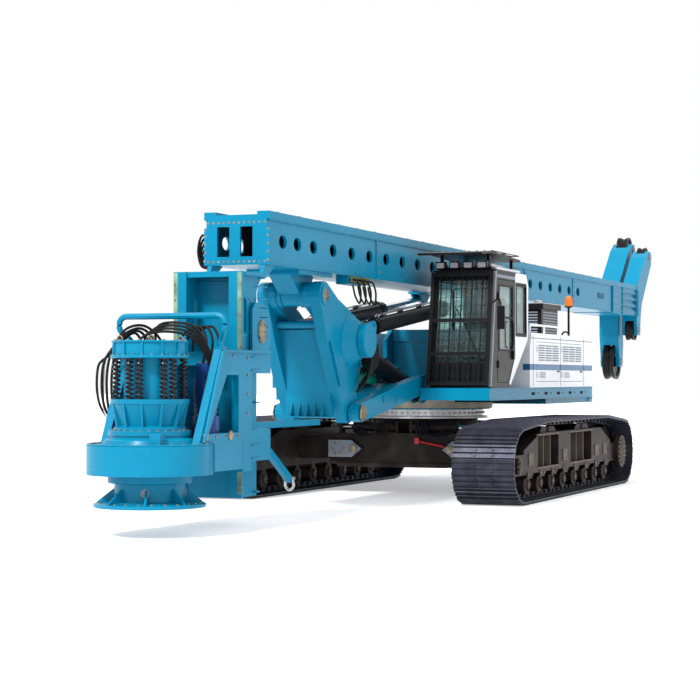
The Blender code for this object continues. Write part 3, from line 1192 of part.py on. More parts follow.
def absorber():
    """The shock absorber's springs on the cone, and the drum that sits on them."""
    centre = (0, ROTARY_Y)
    bore = SLEEVE_R + SEAT_GAP
    top = SPRING_HIGH_Z - SEAT_GAP
    plate = [(bore, top - 0.012), (ABSORBER_R, top - 0.012), (ABSORBER_R, top), (bore, top)]
    adds = [turned(plate, centre)]
    for i in range(SPRING_PAIRS):
        for lean in (-9.5, 9.5):
            angle = math.radians(360 * (i + 0.5) / SPRING_PAIRS + lean)
            place = (SPRING_RING_R * math.cos(angle), ROTARY_Y + SPRING_RING_R * math.sin(angle))
            adds.append(rod_z(place, SPRING_R, SPRING_LOW_Z + SEAT_GAP, top - 0.006, 8))
    node("absorber_springs", "drive_sleeve", "spring_steel", adds)
    wall = ABSORBER_R - 0.02
    drum = [(bore, SPRING_HIGH_Z), (ABSORBER_R + 0.01, SPRING_HIGH_Z), (ABSORBER_R + 0.01, SPRING_HIGH_Z + 0.03),
            (wall, SPRING_HIGH_Z + 0.03), (wall, ABSORBER_TOP_Z - 0.02), (ABSORBER_R, ABSORBER_TOP_Z - 0.02),
            (ABSORBER_R, ABSORBER_TOP_Z), (bore, ABSORBER_TOP_Z)]
    node("absorber_drum", "drive_sleeve", "blue_paint", [turned(drum, centre)])


# ---------------------------------------------------------------- assembly
def place_bodies():
    """The tree of bodies, each on its joint's axis."""
    body("undercarriage", (0, 0, 0))
    BODY_EMPTIES["undercarriage"].name = "rig_frame"
    body("crawler_left", (TRACK_X, 0, WRAP_R), "undercarriage")
    body("crawler_right", (-TRACK_X, 0, WRAP_R), "undercarriage")
    body("upper", (0, 0, BEARING_TOP_Z), "undercarriage")
    body("cab_door", (*cab_hinge(), CAB_FLOOR_Z), "upper")
    body("hood_door_front", (*hood_hinge(DOOR_EDGES_Y[0][0]), DOOR_LOW_Z), "upper")
    body("hood_door_rear", (*hood_hinge(DOOR_EDGES_Y[1][0]), DOOR_LOW_Z), "upper")
    body("winch_drum", (0, 0.30, 1.86), "upper")
    body("boom", (0, *BOOM_PIVOT), "upper")
    body("luffing_barrels", (0, *LUFF_BASE), "upper")
    body("luffing_rods", (0, *LUFF_HEAD), "luffing_barrels")
    body("support_frame", (0, *BOOM_HEAD), "boom")
    body("mast_barrels", (0, *MAST_CYL_BASE), "support_frame")
    body("mast_rods", (0, *MAST_CYL_HEAD), "mast_barrels")
    body("mast", (0, *MAST_PIVOT), "support_frame")
    for name, low, high, width, upper, upper_r, lower, lower_r in HEAD_ARMS:
        middle = (low + high) / 2
        body(f"{name}_sheave_upper", (middle, *upper), "mast")
        body(f"{name}_sheave_lower", (middle, *lower), "mast")
    body("lower_mast", (0, *FOLD_HINGE), "mast")
    body("rotary_drive", (0, ROTARY_Y, GEARBOX_LOW_Z), "lower_mast")
    body("drive_sleeve", (0, ROTARY_Y, CASING_FLANGE_Z), "rotary_drive")
    bpy.context.view_layer.update()


def build():
    """Every node of the machine."""
    place_bodies()
    car_body()
    slew_bearing()
    for side, word in ((1, "left"), (-1, "right")):
        track(f"track_{word}", side)
        track_frame(f"track_frame_{word}", side)
        track_wheel(f"idler_{word}", side, IDLER_Y, 0.10)
        track_wheel(f"sprocket_{word}", side, SPROCKET_Y, 0.24)
    turntable()
    counterweight()
    engine_hood()
    hood_doors()
    engine()
    right_housing()
    exhaust_housing()
    hood_rails()
    beacon()
    winch()
    cab()
    cab_door()
    cab_front()
    cab_roof()
    cab_inside()
    boom()
    support_frame()
    cylinders("luffing", LUFF_BASE, LUFF_HEAD, LUFF_X, LUFF_BARREL_R, LUFF_ROD_R, 0.80)
    cylinders("mast", MAST_CYL_BASE, MAST_CYL_HEAD, MAST_CYL_X, MAST_BARREL_R, MAST_ROD_R, 0.62)
    upper_mast()
    mast_head()
    valve_block()
    lower_mast()
    gearbox()
    carriage()
    rotary_motors()
    guard_hoop()
    sleeve()
    absorber()


build()
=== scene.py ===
"""Finishes, fittings, camera and light for the rotary piling rig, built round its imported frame.

Fittings are drawn from the slew axis, with the ground at z = 0 and the front towards -Y.
Each finished mesh is then moved by CENTRE_Y into the frame's own origin.
"""
import json
import math

import bmesh
import bpy
from mathutils import Matrix, Vector

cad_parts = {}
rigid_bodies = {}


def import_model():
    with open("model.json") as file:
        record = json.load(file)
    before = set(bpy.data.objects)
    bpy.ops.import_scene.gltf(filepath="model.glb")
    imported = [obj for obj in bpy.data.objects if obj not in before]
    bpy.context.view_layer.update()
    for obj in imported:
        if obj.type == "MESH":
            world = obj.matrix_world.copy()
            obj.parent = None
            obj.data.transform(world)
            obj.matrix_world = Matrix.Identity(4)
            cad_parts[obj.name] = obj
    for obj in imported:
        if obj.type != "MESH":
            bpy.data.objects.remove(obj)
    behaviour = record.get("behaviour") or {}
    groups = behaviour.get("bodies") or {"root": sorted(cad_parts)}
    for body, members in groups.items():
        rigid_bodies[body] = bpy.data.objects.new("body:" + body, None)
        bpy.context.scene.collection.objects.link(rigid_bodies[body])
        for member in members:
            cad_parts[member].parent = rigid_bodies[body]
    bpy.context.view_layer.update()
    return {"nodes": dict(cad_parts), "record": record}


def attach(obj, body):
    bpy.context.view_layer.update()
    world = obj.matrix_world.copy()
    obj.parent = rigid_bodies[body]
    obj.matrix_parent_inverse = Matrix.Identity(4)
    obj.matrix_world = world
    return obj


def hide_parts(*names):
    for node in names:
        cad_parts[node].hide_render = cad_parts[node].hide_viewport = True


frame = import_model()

CENTRE_Y = 2.015

for left_over in [o for o in bpy.data.objects if o.name in ("Cube", "Light", "Camera")]:
    bpy.data.objects.remove(left_over, do_unlink=True)


# ---------------------------------------------------------------- finishes
FINISHES = {}


def noise(tree, coords, scale, detail=3.0):
    """A noise texture over the object's own coordinates."""
    made = tree.nodes.new("ShaderNodeTexNoise")
    made.inputs["Scale"].default_value = scale
    made.inputs["Detail"].default_value = detail
    tree.links.new(coords.outputs["Object"], made.inputs["Vector"])
    return made.outputs["Fac"]


def map_range(tree, value, low, high, to_low, to_high):
    """A socket that carries value from one range into another, held at its ends."""
    made = tree.nodes.new("ShaderNodeMapRange")
    for name, number in (("From Min", low), ("From Max", high), ("To Min", to_low), ("To Max", to_high)):
        made.inputs[name].default_value = number
    tree.links.new(value, made.inputs["Value"])
    return made.outputs["Result"]


def multiply(tree, first, second):
    """The product of two sockets."""
    made = tree.nodes.new("ShaderNodeMath")
    made.operation = "MULTIPLY"
    tree.links.new(first, made.inputs[0])
    tree.links.new(second, made.inputs[1])
    return made.outputs[0]


def mix(tree, factor, first, second):
    """Two colours, or a colour's socket and a colour, mixed by factor."""
    made = tree.nodes.new("ShaderNodeMix")
    made.data_type = "RGBA"
    tree.links.new(factor, made.inputs[0])
    for socket, colour in ((made.inputs[6], first), (made.inputs[7], second)):
        if isinstance(colour, tuple):
            socket.default_value = (*colour, 1.0)
        else:
            tree.links.new(colour, socket)
    return made.outputs[2]


def band(tree, value, low, high):
    """1 where value lies between low and high, else 0, with a short soft edge."""
    edge = 0.004
    up = map_range(tree, value, low - edge, low, 0, 1)
    down = map_range(tree, value, high, high + edge, 1, 0)
    return multiply(tree, up, down)


def finish(name, colour, roughness, metallic=0.0, coat=0.0, mottle=0.08, mottle_scale=1.6, grain=0.06,
           grain_scale=55.0, dust=0.0, bands=()):
    """A painted or metal finish: uneven colour, uneven gloss, a fine grain and dust low down."""
    made = bpy.data.materials.new(name)
    made.use_nodes = True
    tree = made.node_tree
    shader = tree.nodes["Principled BSDF"]
    coords = tree.nodes.new("ShaderNodeTexCoord")
    broad = map_range(tree, noise(tree, coords, mottle_scale), 0.3, 0.7, 0, 1)
    darker = tuple(channel * (1 - mottle) for channel in colour)
    lighter = tuple(min(1.0, channel * (1 + mottle)) for channel in colour)
    shade = mix(tree, broad, darker, lighter)
    place = tree.nodes.new("ShaderNodeSeparateXYZ")
    tree.links.new(coords.outputs["Object"], place.inputs["Vector"])
    for band_colour, axis, low, high, limit_axis, limit_low, limit_high in bands:
        inside = band(tree, place.outputs[axis], low, high)
        inside = multiply(tree, inside, band(tree, place.outputs[limit_axis], limit_low, limit_high))
        shade = mix(tree, inside, shade, band_colour)
    if dust:
        height = map_range(tree, place.outputs["Z"], 0.0, 1.3, dust, 0.0)
        patch = map_range(tree, noise(tree, coords, 4.5, 6.0), 0.42, 0.68, 0, 1)
        shade = mix(tree, multiply(tree, height, patch), shade, (0.30, 0.27, 0.23))
    tree.links.new(shade, shader.inputs["Base Color"])
    fine = noise(tree, coords, grain_scale, 4.0)
    tree.links.new(map_range(tree, fine, 0.3, 0.7, roughness * 0.8, min(1.0, roughness * 1.25)),
                   shader.inputs["Roughness"])
    bump = tree.nodes.new("ShaderNodeBump")
    bump.inputs["Strength"].default_value = grain
    bump.inputs["Distance"].default_value = 0.004
    tree.links.new(fine, bump.inputs["Height"])
    tree.links.new(bump.outputs["Normal"], shader.inputs["Normal"])
    shader.inputs["Metallic"].default_value = metallic
    shader.inputs["Coat Weight"].default_value = coat
    shader.inputs["Coat Roughness"].default_value = 0.12
    shader.inputs["Specular IOR Level"].default_value = 0.14
    FINISHES[name] = made
    return made


def glass(name, colour, roughness, weight):
    """A tinted clear finish with a slight waviness."""
    made = finish(name, colour, roughness, mottle=0.03, grain=0.01)
    shader = made.node_tree.nodes["Principled BSDF"]
    shader.inputs["Transmission Weight"].default_value = weight
    shader.inputs["IOR"].default_value = 1.45


def fabric(name, colour):
    """A woven finish: two crossed waves for the threads."""
    made = finish(name, colour, 0.9, grain=0.0)
    tree = made.node_tree
    coords = tree.nodes.new("ShaderNodeTexCoord")
    waves = []
    for direction in ("X", "Z"):
        wave = tree.nodes.new("ShaderNodeTexWave")
        wave.bands_direction = direction
        wave.inputs["Scale"].default_value = 70.0
        tree.links.new(coords.outputs["Object"], wave.inputs["Vector"])
        waves.append(wave.outputs["Fac"])
    bump = tree.nodes.new("ShaderNodeBump")
    bump.inputs["Strength"].default_value = 0.5
    bump.inputs["Distance"].default_value = 0.003
    tree.links.new(multiply(tree, *waves), bump.inputs["Height"])
    shader = tree.nodes["Principled BSDF"]
    tree.links.new(bump.outputs["Normal"], shader.inputs["Normal"])
    shader.inputs["Sheen Weight"].default_value = 0.3


BLUE = (0.0, 0.185, 0.325)
STRIPE = (0.02, 0.11, 0.27)
WHITE = (0.74, 0.77, 0.82)

finish("blue_paint", BLUE, 0.30, mottle=0.06, dust=0.02)
finish("deep_blue_paint", (0.008, 0.05, 0.20), 0.32, coat=0.3)
finish("white_paint", WHITE, 0.3, coat=0.35, mottle=0.03)
finish("striped_white", WHITE, 0.3, coat=0.35, mottle=0.03,
       bands=((STRIPE, "Z", 1.685, 1.765, "X", 1.40, 1.60),))
finish("chassis_brown", (0.017, 0.011, 0.011), 0.5, dust=0.10)
finish("black_paint", (0.006, 0.006, 0.007), 0.34, coat=0.05)
finish("grey_paint", (0.22, 0.25, 0.30), 0.4, dust=0.1)
finish("warm_grey", (0.085, 0.068, 0.056), 0.5, mottle=0.25, mottle_scale=3.0, dust=0.12)
finish("shoe_steel", (0.036, 0.038, 0.055), 0.42, metallic=0.5, mottle=0.35, mottle_scale=6.0, grain=0.25,
       dust=0.08)
finish("bare_steel", (0.52, 0.52, 0.53), 0.32, metallic=0.9, grain=0.12)
finish("spring_steel", (0.035, 0.035, 0.042), 0.26, metallic=0.6)
finish("chrome_rod", (0.72, 0.72, 0.74), 0.1, metallic=1.0, grain=0.02)
finish("brass_fitting", (0.62, 0.42, 0.13), 0.3, metallic=1.0)
finish("bolt_steel", (0.30, 0.24, 0.17), 0.42, metallic=0.75, mottle=0.3, mottle_scale=20.0)
finish("rubber", (0.011, 0.011, 0.012), 0.55, grain=0.5, grain_scale=160.0)
finish("greased_rail", (0.19, 0.30, 0.20), 0.38, metallic=0.4, mottle=0.5, mottle_scale=5.0)
finish("red_paint", (0.48, 0.02, 0.02), 0.35, coat=0.3)
finish("green_paint", (0.0, 0.35, 0.22), 0.35, coat=0.3)
finish("pale_blue", (0.22, 0.45, 0.60), 0.4, coat=0.2)
finish("cast_ring", (0.36, 0.33, 0.27), 0.42, metallic=0.35, mottle=0.2, mottle_scale=5.0, dust=0.15)
# Near-black: the dark of the hood seams, and painted shade in the deck pockets, under the deck, behind the
# mast vents and inside the mast.
finish("dark_joint_and_painted_shade", (0.006, 0.006, 0.007), 0.8)
finish("white_plastic", (0.70, 0.71, 0.72), 0.45, mottle=0.03)
glass("cab_glass", (0.60, 0.80, 0.78), 0.03, 0.93)
glass("lamp_glass", (0.90, 0.92, 0.95), 0.08, 0.6)
glass("orange_lamp", (0.90, 0.22, 0.03), 0.25, 0.35)
fabric("seat_fabric", (0.035, 0.037, 0.045))

NODE_FINISH = {"valve_block": "blue_paint", "cab_door": "black_paint", "engine_hood": "striped_white",
               "hood_door_front": "striped_white", "hood_door_rear": "striped_white",
               "slew_bearing": "bare_steel", "track_frame_left": "chassis_brown",
               "track_frame_right": "chassis_brown"}


def dress_nodes():
    """Each CAD node gets the finish named like its material slot, or its own from the list."""
    for row in frame["record"]["subparts"]:
        node = frame["nodes"][row["node"]]
        name = NODE_FINISH.get(row["node"], row["material_slot"])
        node.data.materials.clear()
        node.data.materials.append(FINISHES[name])


# ---------------------------------------------------------------- shapes
def circle(centre, radius, sides, start_deg=0.0):
    """Points of a regular outline in a plane."""
    turn = 2 * math.pi / sides
    start = math.radians(start_deg)
    return [(centre[0] + radius * math.cos(start + turn * i), centre[1] + radius * math.sin(start + turn * i))
            for i in range(sides)]


def smooth_path(points, per_span=7):
    """A Catmull-Rom curve through points."""
    points = [Vector(p) for p in points]
    ends = [points[0] * 2 - points[1]] + points + [points[-1] * 2 - points[-2]]
    made = []
    for a, b, c, d in zip(ends, ends[1:], ends[2:], ends[3:]):
        for i in range(per_span):
            t = i / per_span
            made.append(0.5 * (2 * b + (c - a) * t + (2 * a - 5 * b + 4 * c - d) * t ** 2
                               + (3 * b - a - 3 * c + d) * t ** 3))
    made.append(points[-1])
    return made


class Form:
    """Closed solids gathered into one mesh."""

    def __init__(self):
        self.points = []
        self.faces = []

    def take(self, points, faces):
        base = len(self.points)
        self.points += [tuple(p) for p in points]
        self.faces += [tuple(base + i for i in face) for face in faces]
        return self

    def prism(self, axis, outline, low, high):
        """A flat outline pushed along an axis; it is (y, z), (x, z) or (x, y) for x, y or z."""
        put = {"x": lambda a, b, d: (d, a, b),
               "y": lambda a, b, d: (a, d, b),
               "z": lambda a, b, d: (a, b, d)}[axis]
        n = len(outline)
        points = [put(a, b, low) for a, b in outline] + [put(a, b, high) for a, b in outline]
        sides = [(i, (i + 1) % n, n + (i + 1) % n, n + i) for i in range(n)]
        return self.take(points, [tuple(range(n)), tuple(range(n, 2 * n))] + sides)

    def box(self, x, y, z):
        return self.prism("z", [(x[0], y[0]), (x[1], y[0]), (x[1], y[1]), (x[0], y[1])], z[0], z[1])

    def lathe(self, base, direction, profile, sides=24):
        """A profile of (radius, height) turned about a line from base; its ends are capped."""
        turn = Vector(direction).to_track_quat("Z", "Y")
        base = Vector(base)
        points, faces = [], []
        for radius, height in profile:
            for i in range(sides):
                angle = 2 * math.pi * i / sides
                points.append(base + turn @ Vector((radius * math.cos(angle), radius * math.sin(angle),
                                                    height)))
        for j in range(len(profile) - 1):
            for i in range(sides):
                k = (i + 1) % sides
                faces.append((j * sides + i, j * sides + k, (j + 1) * sides + k, (j + 1) * sides + i))
        last = (len(profile) - 1) * sides
        return self.take(points, faces + [tuple(range(sides)), tuple(range(last, last + sides))])

    def collar(self, base, direction, profile, sides=32):
        """A closed profile of (radius, height) turned about a line: a ring with a hole."""
        turn = Vector(direction).to_track_quat("Z", "Y")
        base = Vector(base)
        n = len(profile)
        points, faces = [], []
        for i in range(sides):
            angle = 2 * math.pi * i / sides
            for radius, height in profile:
                points.append(base + turn @ Vector((radius * math.cos(angle), radius * math.sin(angle),
                                                    height)))
        for i in range(sides):
            for j in range(n):
                a, b = i * n, ((i + 1) % sides) * n
                faces.append((a + j, b + j, b + (j + 1) % n, a + (j + 1) % n))
        return self.take(points, faces)

    def ring(self, base, direction, outer, inner, low, high, sides=32):
        return self.collar(base, direction, [(inner, low), (outer, low), (outer, high), (inner, high)], sides)

    def rod(self, start, end, radius, sides=12, end_radius=None):
        start, end = Vector(start), Vector(end)
        far = radius if end_radius is None else end_radius
        return self.lathe(start, end - start, [(radius, 0), (far, (end - start).length)], sides)

    def tube(self, path, radius, sides=8):
        """A round tube through the points of path, carried along without twist."""
        path = [Vector(p) for p in path]
        n = len(path)
        points, faces = [], []
        ahead = (path[1] - path[0]).normalized()
        side = ahead.orthogonal().normalized()
        for i, p in enumerate(path):
            ahead = (path[min(i + 1, n - 1)] - path[max(i - 1, 0)]).normalized()
            side = (side - ahead * side.dot(ahead)).normalized()
            other = ahead.cross(side)
            for j in range(sides):
                angle = 2 * math.pi * j / sides
                points.append(p + (side * math.cos(angle) + other * math.sin(angle)) * radius)
        for i in range(n - 1):
            for j in range(sides):
                k = (j + 1) % sides
                faces.append((i * sides + j, i * sides + k, (i + 1) * sides + k, (i + 1) * sides + j))
        return self.take(points, faces + [tuple(range(sides)), tuple(range((n - 1) * sides, n * sides))])

    def bolt(self, at, direction, radius=0.016, height=0.014):
        """A hexagon head on its washer."""
        self.lathe(at, direction, [(radius * 1.45, -0.002), (radius * 1.45, 0.004)], 12)
        return self.lathe(at, direction,
                          [(radius, 0.002), (radius, height), (radius * 0.8, height + 0.002)], 6)

    def bolts_round(self, centre, direction, ring_radius, count, radius=0.016, height=0.014, start_deg=0.0):
        """Bolts on a circle about a line."""
        turn = Vector(direction).to_track_quat("Z", "Y")
        for a, b in circle((0, 0), ring_radius, count, start_deg):
            self.bolt(Vector(centre) + turn @ Vector((a, b, 0)), direction, radius, height)
        return self

    def mirrored(self):
        """The same solids and their mirror images across x = 0."""
        n = len(self.points)
        self.points += [(-x, y, z) for x, y, z in self.points]
        self.faces += [tuple(n + i for i in reversed(face)) for face in self.faces]
        return self


def piece(name, body, form, finish_name, bevel=0.0, smooth_deg=32, replaced=()):
    """A named object made of a form, riding on a body."""
    mesh = bpy.data.meshes.new(name)
    mesh.from_pydata(form.points, [], form.faces)
    bm = bmesh.new()
    bm.from_mesh(mesh)
    bmesh.ops.recalc_face_normals(bm, faces=bm.faces)
    bmesh.ops.translate(bm, verts=bm.verts, vec=(0, -CENTRE_Y, 0))
    bm.to_mesh(mesh)
    bm.free()
    mesh.materials.append(FINISHES[finish_name])
    mesh.shade_smooth()
    mesh.set_sharp_from_angle(angle=math.radians(smooth_deg))
    made = bpy.data.objects.new(name, mesh)
    bpy.context.scene.collection.objects.link(made)
    if bevel:
        rounding = made.modifiers.new("edges", "BEVEL")
        rounding.width = bevel
        rounding.segments = 2
        rounding.limit_method = "ANGLE"
        rounding.angle_limit = math.radians(40)
    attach(made, body)
    if replaced:
        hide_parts(*replaced)
    return made


X, NX, NY, Z, NZ = (1, 0, 0), (-1, 0, 0), (0, -1, 0), (0, 0, 1), (0, 0, -1)
# The six faces of a box: its corners counted in pairs, or as two outlines of four.
PAIRED_BOX = [(0, 1, 3, 2), (4, 5, 7, 6), (0, 1, 5, 4), (2, 3, 7, 6), (0, 2, 6, 4), (1, 3, 7, 5)]
OUTLINED_BOX = [(0, 1, 2, 3), (4, 5, 6, 7), (0, 1, 5, 4), (1, 2, 6, 5), (2, 3, 7, 6), (3, 0, 4, 7)]

# ---------------------------------------------------------------- tracks
TRACK_X = 1.8265
TRACK_HALF = 0.40
SHOE_PITCH = 0.205
LOOP = ((-2.72, 0.48, 0.48), (2.65, 0.48, 0.48), (1.60, 0.84, 0.20), (-1.62, 0.84, 0.20))
SHOE = ((-0.5, 0.040), (-0.5, 0.026), (-0.42, 0.026), (-0.395, 0.0), (-0.335, 0.0), (-0.305, 0.026),
        (-0.06, 0.026), (-0.035, 0.0), (0.035, 0.0), (0.06, 0.026), (0.305, 0.026), (0.335, 0.0),
        (0.395, 0.0), (0.42, 0.026), (0.47, 0.026), (0.47, 0.040))


def loop_points():
    """Points round the track's outside, close together."""
    made = []
    for i, (y, z, r) in enumerate(LOOP):
        turns = []
        for first, second in ((LOOP[i - 1], LOOP[i]), (LOOP[i], LOOP[(i + 1) % 4])):
            (y0, z0, r0), (y1, z1, r1) = first, second
            lean = math.asin((r0 - r1) / math.hypot(y1 - y0, z1 - z0))
            turns.append(math.atan2(z1 - z0, y1 - y0) - math.pi / 2 + lean)
        sweep = (turns[1] - turns[0]) % (2 * math.pi)
        steps = max(2, int(sweep * r / 0.01))
        made += [(y + r * math.cos(turns[0] + sweep * k / steps),
                  z + r * math.sin(turns[0] + sweep * k / steps))
                 for k in range(steps + 1)]
    return made


def along_loop():
    """The loop's length, and a function that gives the point at a distance along it."""
    points = loop_points()
    points.append(points[0])
    marks = [0.0]
    for a, b in zip(points, points[1:]):
        marks.append(marks[-1] + math.dist(a, b))

    def at(distance):
        distance %= marks[-1]
        i = max(k for k in range(len(marks) - 1) if marks[k] <= distance)
        share = (distance - marks[i]) / max(1e-9, marks[i + 1] - marks[i])
        a, b = points[i], points[i + 1]
        return a[0] + (b[0] - a[0]) * share, a[1] + (b[1] - a[1]) * share

    return marks[-1], at


def track_chain(word, side):
    """Shoes with three grousers each, their bolts, and the chain of links and pins inside them."""
    total, at = along_loop()
    count = round(total / SHOE_PITCH)
    pitch = total / count
    shoes, links, bolts = Form(), Form(), Form()
    x = side * TRACK_X
    for i in range(count):
        a, b = Vector(at(i * pitch + 0.002)), Vector(at((i + 1) * pitch - 0.002))
        run = (b - a).normalized()
        out = Vector((run[1], -run[0]))
        middle = (a + b) / 2

        def put(s, inset):
            return middle + run * s * (b - a).length - out * inset

        shoes.prism("x", [tuple(put(s, inset)) for s, inset in SHOE], x - TRACK_HALF, x + TRACK_HALF)
        for low, high in ((-0.135, -0.085), (0.085, 0.135)):
            bar = [put(-0.60, 0.062), put(-0.5, 0.041), (put(0.45, 0.041)), put(0.56, 0.062), put(0.5, 0.098),
                   put(-0.5, 0.098)]
            links.prism("x", [tuple(p) for p in bar], x + low, x + high)
        pin = put(0.5, 0.072)
        links.rod((x - 0.16, *pin), (x + 0.16, *pin), 0.022, 8)
        for dx in (-0.11, 0.11):
            for s in (-0.18, 0.18):
                spot = put(s, 0.026)
                bolts.lathe((x + dx, *spot), (0, *out), [(0.016, -0.003), (0.016, 0.014)], 6)
    made = piece(f"track_chain_{word}", f"crawler_{word}", shoes, "shoe_steel",
                 replaced=(f"track_{word}",))
    piece(f"track_links_{word}", f"crawler_{word}", links, "shoe_steel")
    piece(f"shoe_bolts_{word}", f"crawler_{word}", bolts, "shoe_steel")
    return made


def sided(side, x):
    """A pair of x limits given for the left side, put on either side in rising order."""
    return tuple(sorted((side * x[0], side * x[1])))


def running_gear(word, side):
    """Rollers, caps and panels that show on a crawler's outside and inside."""
    body = f"crawler_{word}"
    face, inner = 2.0915, 1.5615
    out = (side, 0, 0)
    dark, steel, panel = Form(), Form(), Form()
    for i in range(8):
        y = -2.05 + 4.0 * i / 7
        for x, way in ((face - 0.035, 1), (inner + 0.035, -1)):
            dark.lathe((side * x, y, 0.2155), (side * way, 0, 0),
                       [(0.115, -0.02), (0.13, -0.02), (0.13, 0.0), (0.07, 0.012), (0.055, 0.03)], 20)
            steel.bolts_round((side * (x + way * 0.028), y, 0.2155), (side * way, 0, 0), 0.036, 4,
                              0.008, 0.008)
        dark.box(sided(side, (face - 0.012, face + 0.006)), (y - 0.11, y + 0.11), (0.30, 0.40))
        steel.bolt((side * (face + 0.006), y - 0.08, 0.35), out, 0.012)
        steel.bolt((side * (face + 0.006), y + 0.08, 0.35), out, 0.012)
    for low, high in ((-1.66, -0.66), (-0.04, 1.10)):
        for k in range(1, 3):
            y = low + (high - low) * k / 3
            panel.box(sided(side, (face - 0.115, face - 0.02)), (y - 0.012, y + 0.012), (0.425, 0.825))
        panel.box(sided(side, (face - 0.02, face + 0.006)), (low - 0.03, high + 0.03), (0.825, 0.85))
        panel.box(sided(side, (face - 0.02, face + 0.006)), (low - 0.03, high + 0.03), (0.40, 0.425))
    for y in (-2.00, -0.35, 1.38, 1.86):
        panel.box(sided(side, (face - 0.005, face + 0.010)), (y - 0.10, y + 0.10), (0.46, 0.62))
        for dy, z in ((-0.07, 0.49), (0.07, 0.49), (-0.07, 0.59), (0.07, 0.59)):
            steel.bolt((side * (face + 0.010), y + dy, z), out, 0.011, 0.010)
    for y in (-1.00, 0.74):
        for x, way in ((face - 0.05, 1), (inner + 0.05, -1)):
            dark.lathe((side * x, y, 0.885), (side * way, 0, 0),
                       [(0.05, -0.06), (0.05, 0.01), (0.03, 0.02)], 16)
    hub = side * (face + 0.0705)
    dark.lathe((hub, 2.65, 0.48), out, [(0.20, -0.01), (0.20, 0.012), (0.12, 0.022), (0.10, 0.022)], 28)
    steel.bolts_round((hub, 2.65, 0.48), out, 0.215, 18, 0.011, 0.010)
    steel.bolts_round((hub + side * 0.022, 2.65, 0.48), out, 0.075, 6, 0.010, 0.010)
    dark.lathe((hub, -2.72, 0.48), out, [(0.075, -0.01), (0.075, 0.014), (0.05, 0.02)], 20)
    steel.bolts_round((hub, -2.72, 0.48), out, 0.085, 8, 0.008, 0.008)
    teeth = 22
    outline = []
    for i in range(teeth):
        for share, radius in ((0.0, 0.345), (0.2, 0.345), (0.38, 0.372), (0.62, 0.372), (0.8, 0.345)):
            angle = 2 * math.pi * (i + share) / teeth
            outline.append((2.65 + radius * math.cos(angle), 0.48 + radius * math.sin(angle)))
    for x in ((TRACK_X - 0.074, TRACK_X - 0.071), (TRACK_X + 0.071, TRACK_X + 0.074)):
        dark.prism("x", outline, *sided(side, x))
    piece(f"roller_fittings_{word}", body, dark, "chassis_brown")
    piece(f"frame_ribs_{word}", body, panel, "warm_grey", bevel=0.003)
    piece(f"frame_bolts_{word}", body, steel, "bolt_steel")


# ---------------------------------------------------------------- undercarriage
def undercarriage_fittings():
    """Slew ring bolts and teeth, lug covers, the cylinders that spread the crawlers, and pipes."""
    bolts, teeth = Form(), Form()
    bolts.bolts_round((0, 0, 1.141), Z, 0.765, 48, 0.013, 0.018)
    for a, b in circle((0, 0), 0.806, 60):
        teeth.lathe((a * 0.985, b * 0.985, 1.095), (a, b, 0), [(0.016, 0), (0.016, 0.018), (0.010, 0.022)], 8)
    piece("slew_ring_bolts", "undercarriage", bolts, "bolt_steel")
    piece("slew_ring_plugs", "undercarriage", teeth, "white_plastic")
    ring = Form().ring((0, 0, 0), Z, 0.86, 0.70, 1.015, 1.045, 64)
    piece("ring_flange", "undercarriage", ring, "bare_steel", bevel=0.003)
    plates, pins, dark, chrome, red = Form(), Form(), Form(), Form(), Form()
    for sign in (-1, 1):
        face = sign * 1.0405
        lug = [(1.07, 0.49), (1.07, 0.72), (0.73, 0.72), (0.585, 0.605), (0.73, 0.49)]
        plates.prism("y", lug, *sorted((face, face + sign * 0.012)))
        pins.lathe((0.70, face + sign * 0.012, 0.605), (0, sign, 0),
                   [(0.055, 0), (0.055, 0.03), (0.04, 0.035)], 20)
        pins.bolts_round((0.93, face + sign * 0.012, 0.605), (0, sign, 0), 0.08, 6, 0.012)
        y = sign * 0.88
        dark.rod((0.12, y, 0.90), (0.72, y, 0.90), 0.065, 20)
        dark.rod((0.70, y, 0.90), (0.75, y, 0.90), 0.078, 20)
        chrome.rod((0.74, y, 0.90), (0.93, y, 0.90), 0.038, 16)
        for x in (0.10, 0.93):
            dark.box((x - 0.02, x + 0.02), (y - 0.07, y + 0.07), (0.81, 0.98))
    plates.mirrored()
    pins.mirrored()
    dark.mirrored()
    chrome.mirrored()
    dark.box((-0.62, 0.62), (-1.0, 1.0), (0.355, 0.392))
    red.rod((0.24, -1.06, 0.72), (0.62, -1.06, 0.645), 0.014, 10)
    red.box((0.20, 0.26), (-1.08, -1.03), (0.68, 0.76))
    hoses = Form()
    for i in range(4):
        x = 0.16 + 0.05 * i
        route = [(x, -0.74, 0.84), (x + 0.02, -0.98, 0.96), (x + 0.10, -1.06, 0.80), (x + 0.30, -1.03, 0.79),
                 (x + 0.46, -0.93, 0.90)]
        hoses.tube(smooth_path(route), 0.013)
    hoses.mirrored()
    piece("beam_lug_covers", "undercarriage", plates, "grey_paint", bevel=0.003)
    piece("beam_lug_pins", "undercarriage", pins, "bolt_steel")
    piece("spread_cylinders", "undercarriage", dark, "chassis_brown", bevel=0.003)
    piece("spread_cylinder_rods", "undercarriage", chrome, "chrome_rod")
    piece("lock_bar", "undercarriage", red, "red_paint")
    piece("undercarriage_hoses", "undercarriage", hoses, "rubber")


